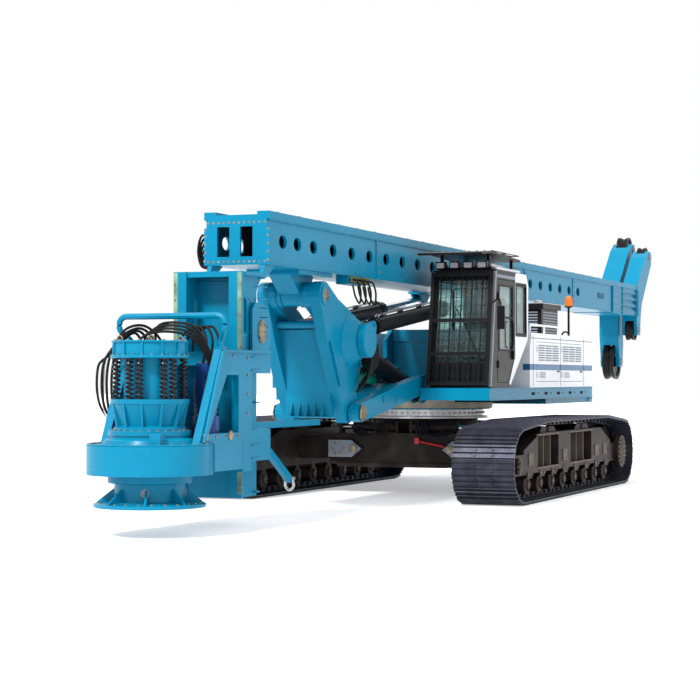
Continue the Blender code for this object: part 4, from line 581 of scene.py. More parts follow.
# ---------------------------------------------------------------- upper structure
def hood_fittings():
    """Louvres, seams, handles and rails of the engine hood and the tail."""
    slats, seams, rails = Form(), Form(), Form()
    x = 1.5005
    for column in range(2):
        low, high = ((0.36, 1.58), (1.66, 2.88))[column]
        for group in range(3):
            start = low + 0.10 + (high - low - 0.12) * group / 3
            for row in range(7):
                z = 1.815 + 0.034 * row
                louvre = [(x - 0.003, z), (x + 0.010, z + 0.004), (x + 0.010, z + 0.009),
                          (x - 0.003, z + 0.022)]
                slats.prism("y", louvre, start, start + 0.30)
        for z in (1.58, 1.61, 1.64):
            slats.prism("y", [(x - 0.003, z), (x + 0.008, z + 0.003), (x + 0.008, z + 0.008),
                              (x - 0.003, z + 0.018)],
                        low + 0.15, low + 0.45)
        door = ("hood_door_front", "hood_door_rear")[column]
        piece(f"louvres_{door}", door, slats, "grey_paint")
        slats = Form()
        handle = Form().box((x, x + 0.006), (high - 0.14, high - 0.05), (1.655, 1.68))
        handle.box((x + 0.004, x + 0.020), (high - 0.13, high - 0.06), (1.662, 1.673))
        piece(f"latch_{door}", door, handle, "black_paint", bevel=0.002)
    for y in (0.18, 1.62, 2.95):
        seams.box((x - 0.002, x + 0.0015), (y - 0.004, y + 0.004), (1.46, 2.17))
    seams.box((x - 0.002, x + 0.0015), (0.06, 3.46), (2.125, 2.132))
    for y in (1.05, 1.75, 2.45, 3.10):
        seams.box((-0.55, 1.44), (y - 0.004, y + 0.004), (2.199, 2.202))
    seams.box((-1.45, 1.45), (3.4685, 3.4715), (1.46, 2.198))
    for i in range(3):
        for row in range(6):
            z = 1.62 + 0.045 * row
            slats.box((-1.15 + 0.80 * i, -0.55 + 0.80 * i), (3.949, 3.954), (z, z + 0.022))
    for y in (-0.60, 0.15, 0.95, 1.75, 2.60):
        seams.box((-1.5015, -1.498), (y - 0.004, y + 0.004), (1.46, 2.17))
    for start in (0.30, 1.15, 2.0):
        for row in range(9):
            z = 1.70 + 0.042 * row
            slats.prism("y", [(-1.499, z), (-1.511, z + 0.004), (-1.511, z + 0.010), (-1.499, z + 0.026)],
                        start, start + 0.62)
    piece("hood_seams", "upper", seams, "dark_joint_and_painted_shade")
    piece("tail_grilles", "upper", slats, "grey_paint")
    for px in (-1.40, -0.75):
        path = [(px, -0.78, 2.20), (px, -0.78, 2.50), (px, -0.70, 2.56), (px, 0.9, 2.56), (px, 1.0, 2.50),
                (px, 1.0, 2.20)]
        rails.tube(smooth_path(path, 4), 0.016)
        rails.rod((px, 0.1, 2.20), (px, 0.1, 2.555), 0.014, 8)
    for y in (-1.30, 3.60):
        rails.tube(smooth_path([(-1.42, y, 1.80 if y < 0 else 2.20), (-1.42, y, 2.62),
                                (-1.36, y + 0.05, 2.68)], 4), 0.014)
    piece("hood_rails_extra", "upper", rails, "white_paint")
    tail = Form()
    for side in (-1, 1):
        tail.box((side * 1.25 - 0.09, side * 1.25 + 0.09), (3.945, 3.965), (1.95, 2.03))
    piece("tail_lamps", "upper", tail, "red_paint", bevel=0.006)
    eyes = Form()
    for px in (-1.0, 1.0):
        eyes.tube(smooth_path([(px - 0.06, 3.75, 2.20), (px - 0.05, 3.75, 2.27), (px, 3.75, 2.30),
                               (px + 0.05, 3.75, 2.27), (px + 0.06, 3.75, 2.20)], 4), 0.014)
    piece("lifting_eyes", "upper", eyes, "black_paint")


def deck_fittings():
    """The side rail of the deck, its pockets and the belly plates under it in near-black as painted shade,
    the ring cover and the mast rest.
    """
    rail, dark, bolts = Form(), Form(), Form()
    for side in (-1, 1):
        x = side * 1.5
        for i in range(5):
            y = 0.10 + 0.66 * i
            # Flat near-black plates: painted shade for the pockets' recesses.
            dark.box(tuple(sorted((x - side * 0.002, x + side * 0.002))), (y, y + 0.16), (1.335, 1.375))
            bolts.bolt((x, y + 0.34, 1.36), (side, 0, 0), 0.010, 0.008)
        rail.box(tuple(sorted((x - side * 0.02, x + side * 0.012))), (-1.84, 3.46), (1.428, 1.4405))
        rail.box(tuple(sorted((x - side * 0.02, x + side * 0.012))), (-1.84, 3.46), (1.278, 1.292))
    # Near-black plates under the deck edge: painted shade under the deck.
    dark.box((0.95, 1.44), (-1.6, 3.3), (1.255, 1.281))
    dark.box((-1.44, -0.95), (-1.6, 3.3), (1.255, 1.281))
    for x in (-0.62, 0.62):
        for i in range(4):
            bolts.bolt((x * 0.985, -1.72 + 0.10 * i, 1.44), Z, 0.012)
    piece("deck_edges", "upper", rail, "blue_paint")
    piece("deck_pockets", "upper", dark, "dark_joint_and_painted_shade")
    cover = Form().ring((0, 0, 0), Z, 0.925, 0.902, 1.16, 1.276, 96)
    cover.bolts_round((0, 0, 1.16), (0, 0, -1), 0.913, 72, 0.006, 0.006)
    piece("ring_cover", "upper", cover, "cast_ring", bevel=0.002)
    piece("deck_bolts", "upper", bolts, "bolt_steel")
    rest = Form()
    for x in (-0.38, 0.38):
        rest.rod((x, 2.2, 2.20), (x * 0.8, 2.2, 2.60), 0.025, 8)
        rest.rod((x, 2.9, 2.20), (x * 0.8, 2.2, 2.60), 0.022, 8)
    rest.box((-0.36, 0.36), (2.15, 2.25), (2.60, 2.66))
    rest.box((-0.30, 0.30), (2.14, 2.26), (2.66, 2.70))
    piece("mast_rest", "upper", rest, "black_paint", bevel=0.003)
    pipe = Form().lathe((0.95, 2.35, 2.66), Z,
                        [(0.06, 0), (0.06, 0.06), (0.07, 0.06), (0.07, 0.08), (0.02, 0.09)], 20)
    pipe.box((0.46, 1.16), (1.90, 2.90), (2.679, 2.684))
    piece("exhaust_cap", "upper", pipe, "bare_steel")
    slats = Form()
    for i in range(8):
        slats.box((1.118, 1.126), (2.02, 2.78), (2.25 + 0.042 * i, 2.268 + 0.042 * i))
        slats.box((0.56, 1.06), (1.944, 1.952), (2.25 + 0.042 * i, 2.268 + 0.042 * i))
    piece("exhaust_louvres", "upper", slats, "grey_paint")


def winch_fittings():
    """Rope laid on the winch drum, its motor, and the bolts of its frame."""
    turns, width, radius = 26, 0.72, 0.232
    path = [(-0.39 + width * i / (turns * 16), 0.30 + radius * math.cos(2 * math.pi * i / 16),
             1.86 + radius * math.sin(2 * math.pi * i / 16)) for i in range(turns * 16 + 1)]
    piece("winch_rope", "winch_drum", Form().tube(path, 0.0135, 6), "shoe_steel")
    guard = Form().box((-0.435, 0.395), (-0.19, -0.175), (1.51, 2.07))
    piece("winch_guard", "upper", guard, "blue_paint", bevel=0.004)
    motor = Form().lathe((-0.50, 0.30, 1.86), NX, [(0.16, 0.0), (0.16, 0.03), (0.10, 0.04), (0.10, 0.08)], 24)
    motor.bolts_round((-0.53, 0.30, 1.86), NX, 0.135, 10, 0.010)
    piece("winch_motor", "upper", motor, "deep_blue_paint")
    plate = Form().bolts_round((0.46, 0.30, 1.86), X, 0.14, 10, 0.011)
    piece("winch_bolts", "upper", plate, "bolt_steel")


# ---------------------------------------------------------------- cab
def cab_front_y(z):
    """y of the cab's leaning front at height z."""
    return -1.80 + 0.24 * (z - 1.45) / 1.54


def cab_fittings():
    """Frame edges, side glass, lamps, visor, wiper, mirror, roof unit and the operator's controls."""
    edge, black, glass_form = Form(), Form(), Form()
    for x in (0.655, 1.485):
        for a, b in ((1.46, 2.97),):
            edge.prism("x", [(cab_front_y(a) - 0.004, a), (cab_front_y(a) + 0.05, a),
                             (cab_front_y(b) + 0.05, b),
                             (cab_front_y(b) - 0.004, b)], x - 0.022, x + 0.0165)
    edge.box((1.4995, 1.504), (-0.71, -0.66), (1.98, 2.90))
    edge.box((1.4995, 1.504), (-1.53, -0.15), (2.89, 2.93))
    edge.box((1.4995, 1.504), (-0.14, -0.09), (2.14, 2.86))
    piece("cab_frame_edges", "upper", edge, "grey_paint", bevel=0.003)
    glass_form.box((1.474, 1.482), (-0.618, -0.182), (2.182, 2.808))
    glass_form.box((0.652, 0.660), (-1.478, -0.302), (2.002, 2.828))
    glass_form.box((0.727, 1.408), (-0.108, -0.100), (2.302, 2.788))
    piece("cab_side_glass", "upper", glass_form, "cab_glass")
    rim = Form()
    for y, z in (((-0.63, -0.17), (2.17, 2.82)),):
        rim.box((1.4995, 1.507), (y[0] - 0.02, y[0]), (z[0] - 0.02, z[1] + 0.02))
        rim.box((1.4995, 1.507), (y[1], y[1] + 0.02), (z[0] - 0.02, z[1] + 0.02))
        rim.box((1.4995, 1.507), y, (z[0] - 0.02, z[0]))
        rim.box((1.4995, 1.507), y, (z[1], z[1] + 0.02))
    piece("quarter_window_seal", "upper", rim, "rubber")
    seal = Form()
    y, z = (-1.41, -0.82), (1.95, 2.78)
    seal.box((1.4995, 1.506), (y[0] - 0.02, y[0]), (z[0] - 0.02, z[1] + 0.02))
    seal.box((1.4995, 1.506), (y[1], y[1] + 0.02), (z[0] - 0.02, z[1] + 0.02))
    seal.box((1.4995, 1.506), y, (z[0] - 0.02, z[0]))
    seal.box((1.4995, 1.506), y, (z[1], z[1] + 0.02))
    seal.box((1.4995, 1.505), y, (2.36, 2.385))
    piece("door_window_seal", "cab_door", seal, "rubber")
    handle = Form().tube(smooth_path([(1.50, -0.90, 1.98), (1.535, -0.90, 2.0), (1.535, -0.90, 2.3),
                                      (1.50, -0.90, 2.32)], 4), 0.010)
    piece("door_grab", "cab_door", handle, "black_paint")
    lower = Form().prism("x", [(-1.485, 1.53), (-1.03, 1.53), (-0.76, 1.86), (-1.485, 1.86)], 1.4995, 1.5025)
    piece("door_lower_panel", "cab_door", lower, "black_paint")
    lens, bezel = Form(), Form()
    for i in range(4):
        x = 0.75 + 0.19 * i
        bezel.box((x - 0.066, x + 0.066), (-1.612, -1.60), (3.006, 3.094))
        lens.box((x - 0.054, x + 0.054), (-1.616, -1.606), (3.016, 3.084))
    piece("roof_lamp_bezels", "upper", bezel, "black_paint", bevel=0.003)
    piece("roof_lamp_lenses", "upper", lens, "lamp_glass", bevel=0.003)
    for i in range(9):
        x = 0.60 + 0.105 * i
        black.box((x, x + 0.012), (-1.58, -0.32), (3.228, 3.240))
    for y in (-1.50, -0.95, -0.40):
        black.box((0.57, 1.45), (y, y + 0.02), (3.222, 3.236))
    black.tube(smooth_path([(1.30, cab_front_y(1.9) - 0.02, 1.90), (1.10, cab_front_y(2.3) - 0.03, 2.30),
                            (0.98, cab_front_y(2.5) - 0.03, 2.50)], 4), 0.008)
    black.box((0.94, 0.965), (cab_front_y(2.45) - 0.03, cab_front_y(2.45) - 0.015), (2.20, 2.72))
    black.tube(smooth_path([(1.49, -1.66, 2.55), (1.60, -1.76, 2.60), (1.64, -1.78, 2.50)], 4), 0.010)
    black.box((1.59, 1.69), (-1.80, -1.775), (2.20, 2.50))
    for i in range(1, 13):
        z = 1.50 + 0.112 * i
        front = cab_front_y(z) - 0.066
        black.box((0.66, 1.475), (front, front + 0.007), (z, z + 0.007))
    for i in range(1, 12):
        x = 0.64 + 0.0715 * i
        black.prism("x", [(cab_front_y(1.48) - 0.064, 1.48), (cab_front_y(1.48) - 0.058, 1.48),
                          (cab_front_y(2.93) - 0.058, 2.93), (cab_front_y(2.93) - 0.064, 2.93)], x - 0.003,
                    x + 0.003)
    piece("cab_trim", "upper", black, "black_paint")
    pillar = Form().prism("x", [(-0.70, 2.94), (-0.70, 2.86), (-0.16, 2.86), (-0.155, 2.13), (-0.10, 2.10),
                                (-0.085, 2.84),
                                (-0.19, 2.985), (-0.66, 2.985)], 1.4995, 1.509)
    pillar.prism("x", [(-0.70, 2.13), (-0.70, 1.86), (-0.98, 1.50), (-0.93, 1.47), (-0.10, 2.10),
                       (-0.155, 2.13)],
                 1.4995, 1.507)
    pillar.box((0.64, 1.495), (-0.0795, -0.072), (2.82, 2.86))
    piece("cab_rear_pillar", "upper", pillar, "white_paint", bevel=0.003)
    roof = Form().box((0.66, 1.46), (-1.36, -0.30), (2.992, 3.035))
    roof.box((0.80, 1.30), (-1.10, -0.50), (3.035, 3.10))
    piece("cab_roof_panel", "upper", roof, "white_paint", bevel=0.012)
    inside, seat, screen = Form(), Form(), Form()
    for x in (0.78, 1.355):
        inside.prism("x", [(-1.22, 1.86), (-0.72, 1.86), (-0.72, 2.06), (-1.16, 2.10), (-1.22, 2.05)],
                     x - 0.05, x + 0.05)
        inside.rod((x, -1.14, 2.09), (x, -1.17, 2.25), 0.010, 8)
        inside.lathe((x, -1.17, 2.24), Z, [(0.018, 0), (0.026, 0.03), (0.024, 0.07), (0.010, 0.085)], 12)
    inside.box((1.33, 1.42), (-1.62, -1.50), (2.02, 2.30))
    screen.box((1.335, 1.415), (-1.502, -1.494), (2.04, 2.28))
    for x in (0.90, 1.20):
        inside.rod((x, -1.58, 1.50), (x, -1.45, 1.72), 0.012, 8)
        inside.box((x - 0.05, x + 0.05), (-1.62, -1.40), (1.50, 1.53))
    seat.prism("x", [(-1.25, 1.985), (-1.21, 2.02), (-0.80, 2.025), (-0.72, 1.985)], 0.845, 1.29)
    seat.prism("x", [(-0.83, 2.00), (-0.78, 2.00), (-0.63, 2.58), (-0.68, 2.60)], 0.85, 1.285)
    seat.box((0.96, 1.175), (-0.66, -0.57), (2.66, 2.83))
    piece("cab_controls", "upper", inside, "black_paint", bevel=0.006)
    piece("seat_cushions", "upper", seat, "seat_fabric", bevel=0.02)
    piece("cab_screen", "upper", screen, "cab_glass")
    dome = Form().lathe((1.20, 3.20, 2.68), Z,
                        [(0.060, 0), (0.060, 0.09), (0.052, 0.13), (0.030, 0.155), (0.008, 0.16)], 20)
    for z in (2.70, 2.73, 2.76, 2.79):
        dome.ring((1.20, 3.20, z), Z, 0.064, 0.058, 0, 0.008, 20)
    made = piece("beacon_dome", "upper", dome, "orange_lamp", replaced=("beacon",))
    pole = Form().rod((1.20, 3.20, 2.215), (1.20, 3.20, 2.68), 0.018, 12)
    pole.lathe((1.20, 3.20, 2.2003), Z, [(0.05, 0), (0.05, 0.015)], 16)
    pole.lathe((1.20, 3.20, 2.655), Z, [(0.04, 0), (0.070, 0.02), (0.070, 0.026)], 20)
    piece("beacon_pole", "upper", pole, "black_paint")
    return made


# ---------------------------------------------------------------- boom, support frame, cylinders
def pin_cover(steel, plate, at, direction, radius):
    """A pin's end plate, its ring of bolts and its grease nipple."""
    plate.lathe(at, direction, [(radius, 0), (radius, 0.012), (radius * 0.85, 0.018)], 24)
    steel.bolts_round(Vector(at) + Vector(direction) * 0.018, direction, radius * 0.62, 6, radius * 0.13,
                      0.010)
    steel.lathe(Vector(at) + Vector(direction) * 0.016, direction,
                [(0.008, 0), (0.008, 0.02), (0.004, 0.028)], 8)


def frame_fittings():
    """Fairings, ribs, pin covers and pipes on the boom and the support frame."""
    blue, cover, steel = Form(), Form(), Form()
    blue.lathe((0.64, -3.90, 2.02), X, [(0.206, 0.0), (0.206, 0.008), (0.194, 0.016), (0.10, 0.016)], 48)
    blue.collar((0.56, -3.90, 2.02), X, [(0.201, 0), (0.208, 0), (0.208, 0.085), (0.201, 0.085)], 48)
    blue.collar((0.402, -3.90, 2.02), X, [(0.201, 0), (0.33, 0), (0.31, 0.012), (0.201, 0.14)], 48)
    pin_cover(steel, cover, (0.4015, -4.73, 2.54), X, 0.075)
    blue.collar((0.4003, -4.73, 2.54), X, [(0.076, 0), (0.12, 0), (0.12, 0.012), (0.076, 0.020)], 32)
    blue.prism("x", [(-4.30, 1.47), (-4.27, 1.47), (-4.58, 2.00), (-4.61, 2.00)], 0.40, 0.43)
    blue.prism("x", [(-3.66, 1.70), (-3.63, 1.70), (-3.67, 2.20), (-3.70, 2.20)], 0.40, 0.43)
    blue.prism("x", [(-4.02, 1.06), (-3.84, 1.10), (-3.84, 1.125), (-4.02, 1.085)], 0.40, 0.44)
    pin_cover(steel, cover, (0.5655, -3.94, 1.15), X, 0.10)
    for form in (blue, cover, steel):
        form.mirrored()
    for x in (-0.20, -0.10, 0.0, 0.10, 0.20):
        blue.prism("x", [(-4.295, 1.11), (-4.37, 1.11), (-4.37, 1.15), (-4.295, 1.29)], x - 0.008, x + 0.008)
    blue.box((-0.27, 0.27), (-4.38, -4.295), (1.10, 1.115))
    blue.tube([(-0.27, -4.60, 2.20), (0.27, -4.60, 2.20)], 0.045, 20)
    bundle, brass = Form(), Form()
    for i in range(6):
        y, drop = -3.74 + 0.045 * i, 0.03 * i
        bundle.tube(smooth_path([(0.42, y, 2.24), (0.50, y + 0.03, 2.20 - drop), (0.57, y + 0.05, 1.98),
                                 (0.58, y + 0.04, 1.74), (0.53, y - 0.02, 1.52 + drop),
                                 (0.44, y - 0.10, 1.40 + drop)]), 0.014)
        brass.lathe((0.40, y, 2.24), X, [(0.020, 0), (0.020, 0.02), (0.015, 0.02), (0.015, 0.045)], 6)
    piece("frame_hoses", "support_frame", bundle, "rubber")
    piece("frame_hose_ends", "support_frame", brass, "brass_fitting")
    piece("support_ribs", "support_frame", blue, "blue_paint", bevel=0.003)
    piece("support_pin_covers", "support_frame", cover, "bolt_steel", bevel=0.002)
    piece("support_bolts", "support_frame", steel, "bolt_steel")
    arm, cover, steel = Form(), Form(), Form()
    for y in (-3.2, -2.75, -2.3):
        arm.box((0.545, 0.555), (y, y + 0.02), (1.26, 1.36))
    pin_cover(steel, cover, (0.6315, -1.55, 1.50), X, 0.085)
    for form in (arm, cover, steel):
        form.mirrored()
    piece("boom_ribs", "boom", arm, "blue_paint")
    piece("boom_pin_covers", "boom", cover, "grey_paint", bevel=0.002)
    piece("boom_bolts", "boom", steel, "bolt_steel")
    valve = Form().box((-0.16, 0.10), (-2.55, -2.25), (1.50, 1.60))
    valve.box((-0.12, 0.06), (-2.50, -2.30), (1.60, 1.66))
    piece("boom_valve", "boom", valve, "green_paint", bevel=0.004)
    hoses = Form()
    for i in range(5):
        x = -0.12 + 0.05 * i
        hoses.tube(smooth_path([(x, -2.30, 1.63), (x, -2.14, 1.72), (x * 1.3, -1.96, 1.66),
                                (x * 1.5, -1.84, 1.50)]), 0.013)
        hoses.tube(smooth_path([(x, -2.50, 1.63), (x, -2.70, 1.70), (x * 1.2, -2.95, 1.52),
                                (x * 1.2, -3.04, 1.36)]), 0.013)
    piece("boom_hoses", "boom", hoses, "rubber")


def cylinder_lines(kind, base, head, x, radius, share):
    """Pipes, clamps and ports along a pair of cylinder barrels."""
    base, head = Vector((0, *base)), Vector((0, *head))
    length = (head - base).length
    run = (head - base).normalized()
    up = run.cross(Vector(X)).normalized()
    if up.z < 0:
        up = -up
    pipes, blocks = Form(), Form()
    for side in (-1, 1):
        offset = Vector((side * x, 0, 0))

        def at(distance, lift, shift=0.0):
            return base + run * distance + up * lift + offset + Vector((shift, 0, 0))

        start, end = 0.30, length * share - 0.06
        for shift in (-0.02, 0.02):
            pipes.tube([at(start, radius + 0.002, shift), at(start + 0.02, radius + 0.026, shift),
                        at(end - 0.04, radius + 0.026, shift), at(end - 0.02, radius + 0.002, shift)], 0.009)
        for k in range(4):
            spot = start + 0.12 + (end - start - 0.24) * k / 3
            low = at(spot - 0.015, radius * 0.9)
            blocks.take([low + Vector((dx, 0, 0)) + a for a in (Vector(), up * (radius * 0.1 + 0.038))
                         for dx in (-0.035, 0.035)] +
                        [low + run * 0.03 + Vector((dx, 0, 0)) + a for a in (Vector(),
                                                                             up * (radius * 0.1 + 0.038))
                         for dx in (-0.035, 0.035)],
                        PAIRED_BOX)
        blocks.lathe(at(0.22, 0), tuple(run),
                     [(radius + 0.001, 0), (radius + 0.008, 0.005), (radius + 0.008, 0.04),
                                               (radius + 0.001, 0.045)], 24)
    piece(f"{kind}_cylinder_pipes", f"{kind}_barrels", pipes, "bare_steel")
    piece(f"{kind}_cylinder_clamps", f"{kind}_barrels", blocks, "black_paint")


# ---------------------------------------------------------------- mast
def mast_fittings():
    """Bolts, vents with painted shade behind their slats, ribs, pipes and hoses on the mast, and a near-black
    web inside it as painted shade.
    """
    steel, blue, dark = Form(), Form(), Form()
    for side in (-1, 1):
        for z in (2.86, 2.95, 3.04, 3.13, 3.20):
            steel.bolt((side * 0.378, -6.307, z), NY, 0.009, 0.004)
        for i in range(6):
            steel.bolt((side * (0.03 + 0.062 * i), -6.307, 3.275), NY, 0.009, 0.004)
            steel.bolt((side * (0.03 + 0.062 * i), -6.307, 2.845), NY, 0.009, 0.004)
        x = side * 0.364
        blue.box(tuple(sorted((x, x + side * 0.024))), (-6.28, 9.38), (3.296, 3.311))
        blue.box(tuple(sorted((x, x + side * 0.012))), (-6.28, 9.38), (2.809, 2.823))
        for i in range(26):
            y = -6.05 + 0.60 * i
            steel.bolt((side * 0.38, y, 3.395), Z, 0.010, 0.008)
        for y in (-2.97, 0.02, 3.60, 6.58):
            blue.box(tuple(sorted((x, x + side * 0.010))), (y, y + 0.14), (2.82, 3.30))
            for z in (2.90, 3.00, 3.16, 3.24):
                steel.bolt((x + side * 0.010, y + 0.03, z), (side, 0, 0), 0.009, 0.007)
                steel.bolt((x + side * 0.010, y + 0.11, z), (side, 0, 0), 0.009, 0.007)
        # A near-black plate behind the vent slats: painted shade in the vent opening.
        dark.box(tuple(sorted((x, x + side * 0.004))), (8.36, 8.84), (3.03, 3.13))
        for i in range(6):
            blue.box(tuple(sorted((x, x + side * 0.010))), (8.38, 8.82),
                     (3.035 + 0.016 * i, 3.043 + 0.016 * i))
        xh = side * 0.374
        for i in range(4):
            z = 2.845 + 0.125 * i
            blue.box(tuple(sorted((xh, xh + side * 0.018))), (9.42, 11.38), (z, z + 0.018))
        for y in (9.44, 10.22, 11.34):
            blue.box(tuple(sorted((xh, xh + side * 0.018))), (y, y + 0.022), (2.80, 3.31))
    piece("mast_bolts", "mast", steel, "bolt_steel")
    piece("mast_ribs", "mast", blue, "blue_paint")
    piece("mast_vents", "mast", dark, "dark_joint_and_painted_shade")
    pipes, tray = Form(), Form()
    for i in range(5):
        pipes.tube([(-0.16 + 0.04 * i, -5.9, 3.372), (-0.16 + 0.04 * i, 9.2, 3.372)], 0.010, 6)
    for i in range(16):
        tray.box((-0.20, 0.06), (-5.6 + 0.95 * i, -5.54 + 0.95 * i), (3.36, 3.388))
    for y in (-2.6, -1.9, 1.4, 4.6, 7.5):
        tray.lathe((0.18, y, 3.36), Z, [(0.035, 0), (0.035, 0.03), (0.018, 0.035), (0.018, 0.055)], 12)
    piece("mast_top_pipes", "mast", pipes, "bare_steel")
    piece("mast_top_clamps", "mast", tray, "black_paint")
    brass, hoses = Form(), Form()
    for i in range(7):
        y = -3.87 + 0.085 * i
        for z in (2.735, 2.785):
            brass.lathe((0.375, y, z), X, [(0.020, 0), (0.020, 0.02), (0.013, 0.02), (0.013, 0.05)], 6)
        if i % 2:
            continue
        hoses.tube(smooth_path([(0.41, y, 2.76), (0.47, y, 2.74), (0.50, y + 0.03, 2.62),
                                (0.46, y + 0.10, 2.48),
                                (0.38, y + 0.16, 2.56), (0.33, y + 0.20, 2.70)]), 0.012)
    piece("valve_fittings", "mast", brass, "brass_fitting")
    piece("valve_hoses", "mast", hoses, "rubber")
    loops = Form()
    for i in range(5):
        y, z = -6.20 + 0.05 * i, 3.05 - 0.03 * i
        loops.tube(smooth_path([(-0.36, y, 3.10), (-0.46, y - 0.02, z + 0.10),
                                (-0.52 - 0.012 * i, y, z - 0.06),
                                (-0.49, y + 0.02, 2.82), (-0.40, y + 0.04, 2.78)]), 0.014)
    piece("mast_front_hoses", "mast", loops, "rubber")
    # A near-black web along the inside of the mast: painted shade that keeps its holes dark.
    shade_web = Form().box((-0.012, 0.012), (-6.1, 9.38), (2.86, 3.31))
    piece("mast_inner_web", "mast", shade_web, "dark_joint_and_painted_shade")


def sheave(name, centre, radius, width, middle):
    """A grooved rope sheave, in place of its plain disc."""
    half = width / 2
    profile = [(0.0465, -half), (0.10, -half), (0.10, -half * 0.7), (radius * 0.80, -half * 0.7),
               (radius * 0.84, -half), (radius, -half), (radius * 0.985, -half * 0.55), (radius * 0.86, 0),
               (radius * 0.985, half * 0.55), (radius, half), (radius * 0.84, half),
               (radius * 0.80, half * 0.7),
               (0.10, half * 0.7), (0.10, half), (0.0465, half)]
    wheel = Form().collar((middle, *centre), X, profile, 36)
    piece(f"{name}_wheel", name, wheel, "black_paint", replaced=(name,))


def head_fittings():
    """Grooved sheaves, rope guards and pin plates of the head arms."""
    steel, cover, guards = Form(), Form(), Form()
    for name, low, high, width, upper, upper_r, lower, lower_r in (
            ("main", -0.36, 0.02, 0.22, (12.72, 4.19), 0.26, (11.60, 1.90), 0.35),
            ("auxiliary", 0.10, 0.40, 0.16, (12.52, 4.02), 0.20, (11.50, 2.52), 0.20)):
        middle = (low + high) / 2
        for place, centre, radius in (("upper", upper, upper_r), ("lower", lower, lower_r)):
            sheave(f"{name}_sheave_{place}", centre, radius, width, middle)
            for x, way in ((high, X), (low, NX)):
                pin_cover(steel, cover, (x, *centre), way, 0.075)
    guards.box((0.021, 0.031), (11.42, 11.46), (2.4, 3.3))
    guards.box((-0.371, -0.361), (11.42, 11.46), (2.4, 3.3))
    guards.box((0.401, 0.411), (11.44, 11.48), (2.8, 3.3))
    piece("head_pin_covers", "mast", cover, "grey_paint")
    piece("head_bolts", "mast", steel, "bolt_steel")
    piece("head_stiffeners", "mast", guards, "blue_paint")


# ---------------------------------------------------------------- lower mast
RIB_FRONT_Y = -6.60      # behind the carriage, which slides past


def lower_mast_fittings():
    """Rails, ribs, bosses, shackle and bolts of the hanging lower mast."""
    blue, steel, boss, dark = Form(), Form(), Form(), Form()
    for side in (-1, 1):
        x = side * 0.33
        for z in (0.34, 0.80, 1.30, 1.62):
            blue.box(tuple(sorted((x, x + side * 0.05))), (RIB_FRONT_Y, -6.52), (z, z + 0.016))
        for z in (2.02, 2.12, 2.22, 2.32, 2.42, 2.55):
            blue.box(tuple(sorted((x + side * 0.018, x + side * 0.045))), (-6.52, -6.30), (z, z + 0.012))
        for i in range(14):
            steel.bolt((side * 0.385, -7.03, 0.42 + 0.165 * i), NY, 0.010, 0.008)
        ear = [(-6.70, 1.78), (-6.60, 1.70), (-6.42, 1.70)] + [
            (-6.47 + 0.26 * math.cos(a), 2.07 + 0.31 * math.sin(a))
            for a in [math.radians(-50 + 14 * k) for k in range(11)]]
        ear += [(-6.62, 2.38), (-6.70, 2.30)]
        blue.prism("x", ear, *sorted((side * 0.345, side * 0.375)))
        ellipse = [(-6.47 + 0.085 * math.cos(a), 2.07 + 0.125 * math.sin(a)) for a in
                   [2 * math.pi * k / 24 for k in range(24)]]
        boss.prism("x", ellipse, *sorted((side * 0.374, side * 0.392)))
        for k in range(8):
            a = 2 * math.pi * k / 8
            steel.bolt((side * 0.392, -6.47 + 0.063 * math.cos(a), 2.07 + 0.10 * math.sin(a)), (side, 0, 0),
                       0.010, 0.008)
        blue.collar((side * 0.3305, -6.80, 2.24), (side, 0, 0),
                    [(0.20, 0), (0.235, 0), (0.235, 0.004), (0.20, 0.004)], 28)
        dark.box(tuple(sorted((side * 0.352, side * 0.398))), (-7.0315, -7.0295), (0.35, 2.69))
    blue.box((-0.245, 0.245), (-6.77, -6.731), (2.58, 2.60))
    piece("lower_mast_ribs", "lower_mast", blue, "blue_paint", bevel=0.002)
    piece("lower_mast_bolts", "lower_mast", steel, "bolt_steel")
    piece("lower_mast_bosses", "lower_mast", boss, "bolt_steel", bevel=0.002)
    piece("rail_wear_strips", "lower_mast", dark, "greased_rail")
    shackle = Form().tube(smooth_path([(0.17, -5.34, 0.42), (0.16, -5.33, 0.34), (0.21, -5.33, 0.295),
                                       (0.26, -5.33, 0.34), (0.25, -5.34, 0.42)]), 0.016)
    shackle.rod((0.14, -5.34, 0.43), (0.28, -5.34, 0.43), 0.016, 10)
    piece("strut_shackle", "lower_mast", shackle, "bare_steel")
    cables = Form()
    for i in range(4):
        x = -0.20 + 0.05 * i
        cables.tube(smooth_path([(x, -6.48, 1.75), (x, -6.38, 1.60), (x, -6.36, 1.40), (x, -6.42, 1.22),
                                 (x, -6.49, 1.15)]), 0.014)
    piece("lower_mast_hoses", "lower_mast", cables, "rubber")


# ---------------------------------------------------------------- rotary drive
ROTARY_Y = -8.32


